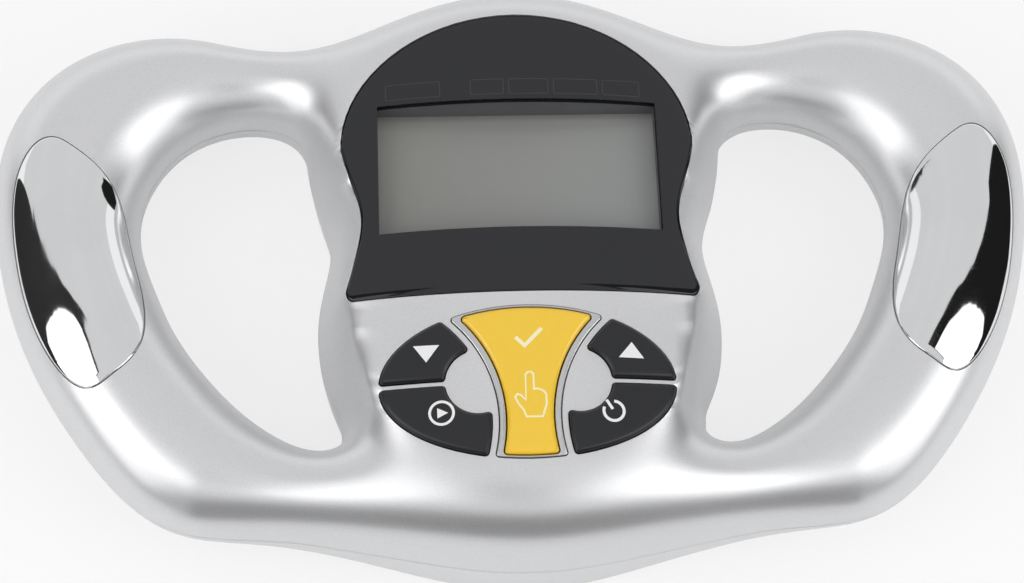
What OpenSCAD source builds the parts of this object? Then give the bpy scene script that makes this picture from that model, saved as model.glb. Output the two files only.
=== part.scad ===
// Handheld body fat analyzer: a display pod held between two looped handles.
// X runs across the handles, Y towards the display's top, Z out of the display.
// The flat back lies at z = 0.

/* [Body] */
// Width across both handles
body_w = 206; // [196:1:220]
// Height of the seam between the two shells
parting_z = 17; // [16:0.5:19]
// Height of the crown above the back
crown_z = 37; // [36.5:0.1:37.5]
// Radius of the curved front across the pod
dome_r = 130; // [125:1:140]
// Thickness of the moulded walls
wall = 2.2; // [1.8:0.1:2.4]
// Height of the lip that joins the shells
lip_h = 1.3; // [0.8:0.1:1.6]
// Thickness of that lip
lip_t = 0.9; // [0.7:0.05:1]

/* [Display] */
// Thickness of the lens
lens_t = 1.6; // [1.2:0.1:1.8]
// How far the lens lies below the body's surface
lens_recess = 0.15; // [0.1:0.05:0.3]
// Width of the view of the display glass
window_w = 54.6; // [50:0.2:55]
// Height of that view
window_h = 27.2; // [24:0.2:28]
// Height of the view's centre above the middle of the body
window_y = 16.3; // [16:0.1:17]
// Thickness of the display glass
glass_t = 1.8; // [1.4:0.1:1.8]
// Wall of the black frame round the view
frame_t = 1.4; // [1:0.1:1.6]

/* [Keys] */
// Half width of the group of keys
keys_a = 27.8; // [26:0.2:28.5]
// Half height of the group of keys
keys_b = 15; // [14.5:0.1:15]
// How far the keys stand above the body
key_proud = 1; // [0.7:0.1:1.2]
// How far a key goes down
key_travel = 0.8; // [0.6:0.1:1]
// Gap round each key
key_gap = 0.25; // [0.2:0.05:0.3]
// Width of the flange under each key
key_flange = 0.5; // [0.45:0.05:0.5]
// Width of the silver band round the middle key
bezel_w = 1.4; // [1.2:0.1:1.6]

/* [Board] */
// Height of the board's upper face
board_z = 26.5; // [26:0.1:27]
// Thickness of the board
board_t = 1.6; // [1.2:0.1:1.6]
// Clear space between the board and the wall at the pod's waist
board_side_gap = 3.8; // [3:0.1:4.2]
// Height of a pressed switch dome above the board
dome_low = 2.6; // [2.4:0.1:2.8]

/* [Batteries] */
// Diameter of a battery cell
cell_d = 10.5; // [10.3:0.1:10.5]
// Length of a battery cell with its nub
cell_l = 44.5; // [44:0.1:44.5]
// Thickness of the battery door
door_t = 1.8; // [1.4:0.1:1.8]
// Gap round the door
door_gap = 0.3; // [0.2:0.05:0.4]
// Height of the bay's middle above the middle of the body
bay_y = 8; // [7:0.5:9]

/* [Electrodes] */
// Thickness of the electrode plates
pad_t = 1; // [0.8:0.1:1]
// How far the plates stand above the handles
pad_proud = 0.15; // [0.1:0.05:0.3]
// Gap round the plates
pad_gap = 0.15; // [0.1:0.05:0.3]

/* [Screws] */
// Diameter of the shell screws
screw_d = 2.2; // [2:0.1:2.3]
// Diameter of their heads
screw_head_d = 4.2; // [3.8:0.1:4.4]
// Length of their shanks
screw_l = 7; // [6:0.5:7]
// Diameter of the board screws
board_screw_d = 1.8; // [1.6:0.1:2]

/* [Hidden] */
$fn = 48;

// Plan of the right half, from the top middle round the handle to the bottom middle.
// Each rib holds its point on the outer edge, on the ridge and on the loop's edge, as x and y,
// then the ridge's height above the seam and its depth below the seam.
plan_w = 206;
pod_w = 84;
RIBS = [
    [[0, 60], [0, 42], [40.6, 19], 24, 24],
    [[10, 59], [10, 42], [41.2, 22], 24, 24],
    [[20, 55.8], [20, 42], [41.6, 24.8], 22.5, 22],
    [[29, 51.6], [30, 41.6], [42.1, 27.6], 18.5, 17],
    [[38, 48.9], [39, 41.2], [44, 30.9], 13.5, 12.5],
    [[47, 49.1], [47.5, 41.2], [48.8, 33], 11, 10],
    [[57, 51.1], [57, 42.2], [56.5, 33], 10.8, 9.8],
    [[68, 52.9], [66.5, 42], [64, 30.2], 11.6, 10.5],
    [[80, 51.4], [75.5, 38.8], [69.3, 25.6], 12.8, 11.5],
    [[91, 45.8], [83, 33], [72.6, 20.2], 13.6, 12.3],
    [[98.8, 36.8], [87.2, 25.5], [74.3, 15], 14, 12.5],
    [[102.6, 25.7], [88.8, 17.6], [74.6, 10.4], 14, 12.5],
    [[103, 14], [88.5, 10], [74, 6.2], 14, 12.5],
    [[101.2, 1.4], [87, 1.5], [72.6, 1.6], 14, 12.5],
    [[98, -9.8], [84.5, -7], [70.6, -3.6], 14, 12.5],
    [[93.2, -20.6], [81.3, -15], [68.2, -9.2], 13.8, 12.5],
    [[86.5, -31.6], [76.4, -23.5], [64.7, -15.2], 13.5, 12.3],
    [[77.5, -43], [70, -32], [59.5, -22], 13, 12],
    [[67.5, -50.2], [60, -39.5], [53, -28.6], 12.2, 11.5],
    [[56, -52.2], [50.5, -42.8], [46.5, -33.2], 12, 11.5],
    [[45, -53], [42, -44.6], [40.5, -36.2], 13, 12.5],
    [[34, -55], [32, -45.5], [36.8, -36.2], 16, 15],
    [[22, -57.3], [20, -45.5], [35.3, -34], 20, 20],
    [[10, -59.4], [10, -45.5], [35.3, -31.5], 23, 23.5],
    [[0, -60], [0, -45.5], [35.6, -29], 24, 24]];

// The pod's side between the two ends of the loop, with the points of the middle line
SIDE = [
    [[40.6, 19], [0, 42]],
    [[39.4, 14], [0, 31]],
    [[37.8, 9.5], [0, 20]],
    [[37, 5], [0, 10]],
    [[37.7, 0.5], [0, 0]],
    [[38.9, -5], [0, -10]],
    [[39.6, -11], [0, -19]],
    [[39.2, -18], [0, -28]],
    [[37.8, -24], [0, -36]],
    [[35.6, -29], [0, -45.5]]];

last_rib = len(RIBS) - 1;
last_side = len(SIDE) - 1;
steps_per_rib = 2;
outer_angles = [0, 14, 28, 42, 56, 70, 81, 90];
inner_angles = [0, 32, 64, 90];
handle_power = 2.1;
pod_front_power = 3;
pod_rear_power = 5;
blend_k = 3;
dome_half = 34;

// The handles reach out further on a wider body, and the pod stays as it is
function reach(p) = let(extra = max(abs(p[0]) - pod_w / 2, 0) * (body_w - plan_w) / (plan_w - pod_w))
    [p[0] + sign(p[0]) * extra, p[1]];
function rib_row(r) = [each reach(r[0]), each reach(r[1]), each reach(r[2]), r[3], r[4]];
function across(r) = [-r[0], r[1], -r[2], r[3], r[4], r[5], r[6], r[7]];
function with_edge(r, p) = [r[0], r[1], r[2], r[3], p[0], p[1], r[6], r[7]];

rows = [for (r = RIBS) rib_row(r)];
rib_control = concat(
    [with_edge(across(rows[1]), SIDE[1][0])],
    rows,
    [with_edge(across(rows[last_rib - 1]), SIDE[last_side - 1][0])]);
side_control = concat(
    [[RIBS[1][2][0], RIBS[1][2][1], 0, 53]],
    [for (s = SIDE) [each s[0], each s[1]]],
    [[RIBS[last_rib - 1][2][0], RIBS[last_rib - 1][2][1], 0, -55]]);

// A smooth curve that passes close to every control row
function pulled(c) = [for (i = [0 : len(c) - 1])
    (i == 0 || i == len(c) - 1) ? c[i] : c[i] - (c[i - 1] - 2 * c[i] + c[i + 1]) / 6];
rib_pulled = pulled(rib_control);
side_pulled = pulled(side_control);
function curve(c, u) = let(i = max(0, min(floor(u), len(c) - 4)), t = u - i, s = 1 - t)
    (s * s * s * c[i] + (3 * t * t * t - 6 * t * t + 4) * c[i + 1]
        + (3 * s * s * s - 6 * s * s + 4) * c[i + 2] + t * t * t * c[i + 3]) / 6;
function rib(u) = curve(rib_pulled, u);
function corner(r) = [r[4], r[5], 0, r[3]];
function side(w) = w <= 0 ? corner(rib(0)) : w >= last_side ? corner(rib(last_rib))
    : curve(side_pulled, w);

function unit(v) = v / norm(v);
function turned(v) = [-v[1], v[0]];
function snap(p) = [for (v = p) round(v * 10000) / 10000 + 0];
probe = 0.02;
function run_of(c0, c1, i) = [c1[i] - c0[i], c1[i + 1] - c0[i + 1]];
top_corner = RIBS[1][2] - SIDE[1][0];
low_corner = SIDE[last_side - 1][0] - RIBS[last_rib - 1][2];
function outer_normal(u) = u <= 0 ? [0, 1] : u >= last_rib ? [0, -1]
    : unit(turned(run_of(rib(u - probe), rib(u + probe), 0)));
function loop_normal(u) = -unit(turned(u <= 0 ? top_corner : u >= last_rib ? low_corner
    : run_of(rib(u - probe), rib(u + probe), 4)));
function side_normal(w) = w <= 0 ? loop_normal(0) : w >= last_side ? loop_normal(last_rib)
    : unit(turned(run_of(side(w - probe), side(w + probe), 0)));

// The front is a shallow cylinder and the back is flat, both rounded into the sides
function arc_drop(x) = let(a = min(abs(x), dome_half)) dome_r - sqrt(dome_r * dome_r - a * a);
front_rise = crown_z - parting_z;
function dome_z(x) = crown_z - arc_drop(x);
function soft_min(a, b) = min(a, b) - pow(max(blend_k - abs(a - b), 0), 2) / 4 / blend_k;

// How squarely the section turns over: round on the handles and fuller on the pod
function power_at(u, pod) = handle_power
    + (pod - handle_power) * (max(0, 1 - u / 5) + max(0, 1 - (last_rib - u) / 5));

// One point of the body's surface, at an angle up from the seam, moved out by d
function section(edge, ridge, h, n, front, d, a) =
    let(f = a >= 90 ? 1 : 1 - pow(cos(a), 2 / n),
        p = a >= 90 ? ridge : edge + (ridge - edge) * f,
        z = a <= 0 ? 0 : (h + d) * pow(sin(a), 2 / n))
    snap([p[0], p[1], parting_z + (a <= 0 ? 0
        : front ? soft_min(z, front_rise - arc_drop(p[0]) + d)
        : -soft_min(z, parting_z + d))]);

function power_of(front) = front ? pod_front_power : pod_rear_power;
function outer_point(u, front, d, a) = let(r = rib(u))
    section([r[0], r[1]] + d * outer_normal(u), [r[2], r[3]], r[front ? 6 : 7],
        power_at(u, power_of(front)), front, d, a);
function loop_point(u, front, d, a) = let(r = rib(u))
    section([r[4], r[5]] + d * loop_normal(u), [r[2], r[3]], r[front ? 6 : 7],
        power_at(u, power_of(front)), front, d, a);
function side_point(w, front, d, a) = let(s = side(w), t = w / last_side,
        k = front ? 6 : 7, h = (1 - t) * rib(0)[k] + t * rib(last_rib)[k])
    section([s[0], s[1]] + d * side_normal(w), [s[2], s[3]], h, power_of(front), front, d, a);
function any_point(kind, u, front, d, a) = kind == 0 ? outer_point(u, front, d, a)
    : kind == 1 ? loop_point(u, front, d, a) : side_point(u, front, d, a);

// Points on the middle line lie exactly on it
function on_middle(p, kind, u) =
    (kind == 0 && (u <= 0 || u >= last_rib)) ? [0, p[1], p[2]] : p;

// The rim steps over at the lip: a groove in the front shell, a tongue on the rear one
lip_gap = 0.15;
function rim(kind, u, front) = let(
        outer_d = front ? -(wall - lip_t) + lip_gap : -(wall - lip_t),
        top = front ? lip_h + lip_gap + 0.05 : lip_h,
        a = any_point(kind, u, front, outer_d, 0), b = any_point(kind, u, front, -wall, 0))
    [a, [a[0], a[1], parting_z + top], [b[0], b[1], parting_z + top]];

function shell_section(kind, u, front) = concat(
    [for (i = [len(outer_angles) - 1 : -1 : 0]) any_point(kind, u, front, 0, outer_angles[i])],
    rim(kind, u, front),
    [for (i = [(front ? 1 : 0) : len(inner_angles) - 1])
        any_point(kind, u, front, -wall, inner_angles[i])]);
function stations(kind) = [for (i = [0 : (kind == 2 ? last_side : last_rib) * steps_per_rib])
    i / steps_per_rib];
function shell_grid(kind, front) = [for (u = stations(kind))
    [for (p = shell_section(kind, u, front)) snap(on_middle(p, kind, u))]];

// A skin of four-sided cells, each cut in two, over a list of grids
function grid_start(grids, k) = k == 0 ? 0
    : grid_start(grids, k - 1) + len(grids[k - 1]) * len(grids[k - 1][0]);
function grid_faces(g, base, flip) = let(n = len(g[0]))
    [for (i = [0 : len(g) - 2]) for (j = [0 : n - 2])
        let(a = base + i * n + j, b = a + 1, c = a + n, d = c + 1)
        each flip ? [[a, b, d], [a, d, c]] : [[a, d, b], [a, c, d]]];
module skin(grids, flips) {
    polyhedron(
        points = [for (g = grids) for (row = g) each row],
        faces = [for (k = [0 : len(grids) - 1])
            each grid_faces(grids[k], grid_start(grids, k), flips[k])]);
}
function flipped_x(grids) = [for (g = grids) [for (row = g) [for (p = row) [-p[0] + 0, p[1], p[2]]]]];
module shell(front) {
    half = [for (kind = [0 : 2]) shell_grid(kind, front)];
    flips = [front, !front, front];
    skin(concat(half, flipped_x(half)), concat(flips, [for (f = flips) !f]));
}

// A tube along a row of points, whose sides keep to a row of reference directions
function across_ref(t, ref) = unit(ref - (ref * t) * t);
function ring(p, t, ref, r, sides) = let(a = across_ref(t, ref), b = cross(t, a))
    [for (k = [0 : sides]) let(w = 360 * (k % sides) / sides) snap(p + r * (cos(w) * a + sin(w) * b))];
function run_dir(pts, i) = unit(pts[min(i + 1, len(pts) - 1)] - pts[max(i - 1, 0)]);
module tube(pts, refs, r, sides) {
    g = [for (i = [0 : len(pts) - 1]) ring(pts[i], run_dir(pts, i), refs[i], r, sides)];
    n = sides + 1;
    last = (len(g) - 1) * n;
    polyhedron(
        points = [for (row = g) each row],
        faces = concat(grid_faces(g, 0, false),
            [[for (k = [0 : sides - 1]) k], [for (k = [sides - 1 : -1 : 0]) last + k]]));
}
function smooth(pts, n) = let(c = pulled(concat([2 * pts[0] - pts[1]], pts,
        [2 * pts[len(pts) - 1] - pts[len(pts) - 2]])))
    [for (i = [0 : (len(pts) - 1) * n]) curve(c, i / n)];

// Solids that follow the curved front
module under_dome(below) {
    translate([0, 0, crown_z - dome_r]) rotate([90, 0, 0])
        cylinder(r = dome_r - below, h = 140, center = true, $fn = 360);
}
module dome_band(above, below) {
    difference() {
        under_dome(above);
        under_dome(below);
    }
}
module prism(low, high) {
    translate([0, 0, low]) linear_extrude(high - low) children();
}
module both_sides() {
    children();
    mirror([1, 0, 0]) children();
}
module plate(w, h, r) {
    offset(r = r) square([w - 2 * r, h - 2 * r], center = true);
}

// Display
lens_top_y = 22;
lens_a = 34.4;
lens_b = 26.2;
lens_corner = 1.8;
lens_gap = 0.2;
lens_side = [[34.4, 22], [33.4, 17.4], [31.6, 11.8], [30.5, 6.4], [31.2, 1], [32.6, -4.2], [34.2, -10.5]];
lens_half = concat(
    [for (a = [90 : -5 : 5]) [lens_a * cos(a), lens_top_y + lens_b * sin(a)]],
    smooth(lens_side, 4));
module lens_outline() {
    offset(r = lens_corner) offset(delta = -lens_corner)
        polygon(concat(lens_half,
            [for (i = [len(lens_half) - 1 : -1 : 1]) [-lens_half[i][0], lens_half[i][1]]]));
}
lens_under = lens_recess + lens_t;
seat_gap = 0.05;
shelf_t = 1.3;
shelf_edge = 1;
glass_w = window_w + 4;
glass_h = window_h + 5;
zebra_h = 1;
zebra_w = 2;
glass_z = board_z + zebra_h;
glass_top = glass_z + glass_t;
frame_flange_t = 0.7;
frame_side = 1.2;
fit = 0.1;

module display_lens() {
    color("dimgray") intersection() {
        prism(crown_z - 8, crown_z + 1) lens_outline();
        dome_band(lens_recess, lens_under);
    }
}
module lcd_frame() {
    color("black") translate([0, window_y, 0]) difference() {
        union() {
            intersection() {
                prism(glass_top, crown_z)
                    square([window_w + 2 * frame_t, window_h + 2 * frame_t], center = true);
                under_dome(lens_under + 2 * seat_gap);
            }
            prism(board_z, glass_top + frame_flange_t)
                square([glass_w + 2 * frame_side, glass_h + 2 * frame_side], center = true);
        }
        prism(board_z - 1, crown_z) square([window_w, window_h], center = true);
        prism(board_z - 1, glass_top) square([glass_w + 2 * fit, glass_h + 2 * fit], center = true);
    }
}
module lcd_glass() {
    color("darkseagreen") translate([0, window_y, 0]) prism(glass_z, glass_top)
        square([glass_w, glass_h], center = true);
}
module zebra_strips() {
    color("dimgray") for (s = [-1, 1])
        translate([0, window_y + s * (glass_h / 2 - zebra_w), 0])
            prism(board_z, glass_z) square([glass_w - 4, zebra_w], center = true);
}

// Keys
keys_y = -28.6;
key_corner = 0.6;
key_split = 0.6;
side_key_c = [33, -7.4];
side_key_r = 25.8;
bezel_r = 27.3;
notch_c = [9.4, 0.1];
notch_r = 6.4;
set_end = 0.6;
module keys_oval(grow) {
    polygon([for (a = [0 : 5 : 355]) [(keys_a + grow) * cos(a), (keys_b + grow) * sin(a)]]);
}
module waisted(grow, r) {
    difference() {
        keys_oval(grow);
        both_sides() translate(side_key_c) circle(r = r, $fn = 96);
    }
}
module set_outline() {
    translate([0, keys_y]) offset(r = key_corner) offset(delta = -key_corner)
        waisted(-set_end, bezel_r + bezel_w);
}
module bezel_outline() {
    translate([0, keys_y]) offset(r = key_corner) offset(delta = -key_corner) waisted(0, bezel_r);
}
// The right-hand keys, above or below the split
module side_outline(up) {
    translate([0, keys_y]) offset(r = key_corner) offset(delta = -key_corner) difference() {
        intersection() {
            keys_oval(0);
            translate(side_key_c) circle(r = side_key_r, $fn = 96);
            translate([0, up ? key_split : -keys_b - key_split]) square([keys_a, keys_b]);
        }
        translate(notch_c) circle(r = notch_r);
    }
}
flange_gap = 0.8;
flange_t = 1;
post_d = 4;
upper_post = [18, -22];
lower_post = [17.5, -35];
middle_post = [0, keys_y];
dome_h = dome_low + key_travel;
dome_top = board_z + dome_h;
module key_solid(post) {
    intersection() {
        prism(board_z, crown_z + 2) children();
        dome_band(-key_proud, wall + flange_gap + flange_t);
    }
    intersection() {
        prism(board_z, crown_z + 2) offset(delta = key_flange) children();
        dome_band(wall + flange_gap, wall + flange_gap + flange_t);
    }
    intersection() {
        translate([post[0], post[1], dome_top]) cylinder(d = post_d, h = crown_z - dome_top);
        under_dome(wall + flange_gap + flange_t / 2);
    }
}
module upper_key() { color("black") key_solid(upper_post) side_outline(true); }
module lower_key() { color("black") key_solid(lower_post) side_outline(false); }
module up_key() upper_key();
module down_key() mirror([1, 0, 0]) upper_key();
module power_key() lower_key();
module start_key() mirror([1, 0, 0]) lower_key();
module set_key() { color("gold") key_solid(middle_post) set_outline(); }
bezel_proud = 0.3;
module set_key_bezel() {
    color("silver") intersection() {
        prism(board_z, crown_z + 2) difference() {
            bezel_outline();
            offset(delta = key_gap) set_outline();
        }
        dome_band(-bezel_proud, wall);
    }
}

// Board
board_low_y = -46;
board_high_y = 40;
board_r = 3;
board_under = board_z - board_t;
board_w = 2 * (SIDE[3][0][0] - wall - board_side_gap);
board_hole_in = 4;
board_holes = [for (y = [board_high_y - board_hole_in, board_low_y + board_hole_in])
    [board_w / 2 - board_hole_in, y]];
board_boss_d = 5;
board_screw_l = 4.5;
board_head_d = 3.6;
board_head_t = 1.3;
mat_t = 0.8;
mat_edge = 1.5;
dome_d = 8;
module at_board_holes() {
    both_sides() for (p = board_holes) translate(p) children();
}
module main_board() {
    color("darkgreen") difference() {
        prism(board_under, board_z) translate([0, (board_low_y + board_high_y) / 2])
            plate(board_w, board_high_y - board_low_y, board_r);
        at_board_holes() translate([0, 0, board_under - 1])
            cylinder(d = board_screw_d + 0.4, h = board_t + 2);
    }
}
chip_y = -12;
chip_d = 13;
chip_t = 1.5;
module chip_cover() {
    color("black") translate([0, chip_y, board_under - chip_t])
        cylinder(d1 = 0.7 * chip_d, d2 = chip_d, h = chip_t);
}
module at_posts() {
    both_sides() for (p = [upper_post, lower_post]) translate(p) children();
    translate(middle_post) children();
}
module key_mat() {
    color("gainsboro") difference() {
        prism(board_z, board_z + mat_t) translate([0, keys_y]) keys_oval(mat_edge);
        at_posts() translate([0, 0, board_z - 1]) cylinder(d = dome_d + 2 * fit, h = mat_t + 2);
    }
}
dome_skin = 0.7;
module dome_at(post) {
    color("gainsboro") translate([post[0], post[1], board_z]) difference() {
        cylinder(d1 = dome_d, d2 = post_d + 0.4, h = dome_h - seat_gap);
        translate([0, 0, -1]) cylinder(d = dome_d - 3 * dome_skin, h = 1 + mat_t);
        cylinder(d1 = dome_d - 2 * dome_skin, d2 = post_d - dome_skin, h = dome_h - 2 * dome_skin);
    }
}
module up_dome() dome_at(upper_post);
module down_dome() mirror([1, 0, 0]) dome_at(upper_post);
module power_dome() dome_at(lower_post);
module start_dome() mirror([1, 0, 0]) dome_at(lower_post);
module set_dome() dome_at(middle_post);

// Electrodes
pad_mid = 13;
pad_half = 2.9;
pad_power = 2.6;
pad_outer_span = 44;
pad_inner_span = 56;
pad_rows = 13;
pad_steps = 4;
stud_u = 12;
stud_d = 2.4;
stud_l = 2;
degrees_per_mm = 6;
ribs_per_mm = 0.09;
function pad_width(t) = pow(1 - pow(abs(t), pad_power), 1 / pad_power);
function pad_point(t, s, front, d, grow) = any_point(s < 0 ? 0 : 1,
    pad_mid + t * (pad_half + grow * ribs_per_mm), front, d,
    90 - abs(s) * ((s < 0 ? pad_outer_span : pad_inner_span) * pad_width(t) + grow * degrees_per_mm));
pad_ts = [for (i = [0 : pad_rows - 1]) sin(-82 + 164 * i / (pad_rows - 1))];
pad_ss = [for (i = [-pad_steps : pad_steps]) i / pad_steps];
module pad(front, low, high, grow) {
    last = 2 * pad_steps;
    round_grid = [for (t = pad_ts) concat(
        [for (s = pad_ss) pad_point(t, s, front, high, grow)],
        [for (i = [last : -1 : 0]) pad_point(t, pad_ss[i], front, low, grow)],
        [pad_point(t, -1, front, high, grow)])];
    caps = [for (t = [pad_ts[0], pad_ts[pad_rows - 1]])
        [for (s = pad_ss) [pad_point(t, s, front, high, grow), pad_point(t, s, front, low, grow)]]];
    skin([round_grid, caps[0], caps[1]], [!front, !front, front]);
}
stud_p = [rib(stud_u)[2], rib(stud_u)[3]];
function stud_face(front) = loop_point(stud_u, front, 0, 90)[2];
module stud(front, d, from, to) {
    high = front ? stud_face(true) - from : stud_face(false) + to;
    low = front ? stud_face(true) - to : stud_face(false) + from;
    translate([stud_p[0], stud_p[1], low]) cylinder(d = d, h = high - low);
}
module electrode(front) {
    color("gainsboro") {
        pad(front, pad_proud - pad_t, pad_proud, 0);
        stud(front, stud_d, (pad_t - pad_proud) / 2, wall + stud_l);
    }
}
module right_front_electrode() electrode(true);
module left_front_electrode() mirror([1, 0, 0]) electrode(true);
module right_rear_electrode() electrode(false);
module left_rear_electrode() mirror([1, 0, 0]) electrode(false);
module pad_pockets(front) {
    both_sides() {
        pad(front, pad_proud - pad_t - seat_gap, pad_proud + 2, pad_gap);
        stud(front, stud_d + 0.4, 0, wall + stud_l);
    }
}
wire_d = 1.2;
wire_rise = 1.4;
wire_sides = 6;
wire_plan = [[86, 24], [79, 34], [67, 37.6], [57, 36.6], [46, 37.4], [38, 35]];
wire_z = 18;
function wire_route(front) = let(k = front ? 1 : -1, end = [30 - wire_d, 31 - k * 1.4])
    concat(
        [[stud_p[0], stud_p[1], stud_face(front) - k * (wall + stud_l + wire_d / 2)]],
        [for (p = wire_plan) [reach(p)[0], p[1], wire_z + k * wire_rise]],
        [[end[0] + 3, end[1], board_under - 2], [end[0], end[1], board_under - wire_d / 2]]);
module electrode_leads() {
    color("crimson") both_sides() for (front = [true, false]) {
        pts = smooth(wire_route(front), 2);
        tube(pts, [for (p = pts) [0, 0, 1]], wire_d / 2, wire_sides);
    }
}

// Batteries
cell_z = door_t + 0.4 + cell_d / 2;
cell_pitch = cell_d + 0.6;
plate_t = 0.4;
spring_l = 6.3;
bay_w = cell_l + spring_l + 4 * plate_t;
bay_h = cell_pitch + cell_d + 1;
bay_top = cell_z + cell_d / 2 + 0.5;
bay_wall = 1.4;
nub_d = 3.8;
nub_l = 0.8;
module cell_place(k) {
    translate([0, bay_y + k * cell_pitch / 2, cell_z]) rotate([0, 0, k > 0 ? 0 : 180]) children();
}
cell_start = -bay_w / 2 + 2 * plate_t + spring_l;
module cell(k) {
    color("orange") cell_place(k) translate([cell_start, 0, 0]) rotate([0, 90, 0]) {
        cylinder(d = cell_d, h = cell_l - nub_l);
        cylinder(d = nub_d, h = cell_l);
    }
}
module battery_cell_a() cell(1);
module battery_cell_b() cell(-1);
spring_turns = 5;
spring_wire = 0.5;
spring_r1 = 3.6;
spring_r2 = 2;
spring_steps = 10;
module battery_springs() {
    n = spring_turns * spring_steps;
    color("silver") for (k = [-1, 1]) cell_place(k) translate([-bay_w / 2 + plate_t, 0, 0]) {
        translate([0, -4.5, -4.5]) cube([plate_t, 9, 9]);
        dirs = [for (i = [0 : n]) let(a = 360 * i / spring_steps) [0, cos(a), sin(a)]];
        pts = [for (i = [0 : n]) let(f = i / n)
            [plate_t + (spring_l - spring_wire) * f + spring_wire / 2 - 0.05 * (1 - f), 0, 0]
                + (spring_r1 + (spring_r2 - spring_r1) * f) * dirs[i]];
        tube(pts, dirs, spring_wire / 2, 6);
    }
}
module battery_plates() {
    color("silver") for (k = [-1, 1]) cell_place(k) translate([bay_w / 2 - 2 * plate_t, 0, 0]) {
        difference() {
            translate([plate_t / 2, -4.5, -4.5]) cube([plate_t, 9, 9]);
            translate([plate_t / 2 - 0.1, 0, 0]) rotate([0, 90, 0]) cylinder(d = 1.6, h = plate_t + 0.2);
        }
    }
}
lead_hole_d = 2;
lead_x = bay_w / 2 - 1;
function lead_route(side) = [[side * lead_x, bay_y, bay_top - 1.5], [side * lead_x, bay_y, bay_top + 2],
    [side * (lead_x - 2), bay_y - 3, board_under - 4], [side * (lead_x - 2), bay_y - 3, board_under - fit]];
module battery_leads() {
    color("black") for (s = [-1, 1]) {
        pts = smooth(lead_route(s), 4);
        tube(pts, [for (p = pts) [0, 1, 0]], wire_d / 2, wire_sides);
    }
}
door_edge = 2;
door_w = bay_w + 2 * door_edge;
door_h = bay_h + 2 * door_edge;
door_z = 0.2;
door_r = 2;
pin_d = 1;
pin_l = 1.2;
pin_gap = 0.05;
knuckle_r = 0.9;
hinge_y = bay_y + door_h / 2 - knuckle_r;
hinge_z = door_z + knuckle_r;
module battery_door() {
    color("silver") {
        difference() {
            prism(door_z, door_z + door_t) translate([0, bay_y - knuckle_r / 2])
                plate(door_w, door_h - knuckle_r, door_r);
            for (i = [-2 : 2]) translate([-6, bay_y - door_h / 2 + 3 + (i + 2) * 1.2, door_z - 0.5])
                cube([12, 0.5, 1]);
            for (s = [-1, 1]) translate([s * (door_w / 2 - 1) - 1.5, hinge_y - 3, door_z - 1])
                cube([3, 6, door_t + 2]);
        }
        translate([0, hinge_y, hinge_z]) rotate([0, 90, 0])
            cylinder(r = knuckle_r, h = door_w - 2, center = true);
        translate([0, hinge_y, hinge_z]) rotate([0, 90, 0])
            cylinder(d = pin_d, h = door_w + 2 * pin_l, center = true);
    }
}

// Screws and what they screw into
post_top = parting_z - 1;
post_od = 6.4;
post_seat = 1.8;
head_h = 1.9;
boss_d = 5.6;
seat_z = post_top - post_seat;
pilot_gap = 0.05;
shank_gap = 0.2;
rib_t = 1.2;
rib_reach = 5;
// Each hole's place, the rise and depth of the shells there, and the direction of its rib
function on_rib(i, turn) = [reach(RIBS[i][1]), RIBS[i][3], RIBS[i][4], turn];
function on_pod(p, turn) = [p, dome_z(p[0]) - parting_z, parting_z, turn];
shell_holes = [on_pod([17, 48], -90), on_pod([14, -50.5], 90), on_rib(6, 0), on_rib(18, 30)];
module at_shell_holes() {
    both_sides() for (h = shell_holes) translate(h[0]) children();
}
module shell_screws() {
    color("dimgray") at_shell_holes() translate([0, 0, seat_z]) {
        difference() {
            translate([0, 0, -head_h]) cylinder(d = screw_head_d, h = head_h);
            for (a = [0, 90]) rotate([0, 0, a]) translate([-1.2, -0.3, -head_h - 0.1]) cube([2.4, 0.6, 1]);
        }
        cylinder(d = screw_d, h = screw_l);
    }
}
module board_screws() {
    color("dimgray") at_board_holes() translate([0, 0, board_under]) {
        difference() {
            translate([0, 0, -board_head_t]) cylinder(d = board_head_d, h = board_head_t);
            for (a = [0, 90]) rotate([0, 0, a])
                translate([-1, -0.25, -board_head_t - 0.1]) cube([2, 0.5, 0.8]);
        }
        cylinder(d = board_screw_d, h = board_screw_l);
    }
}
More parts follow.
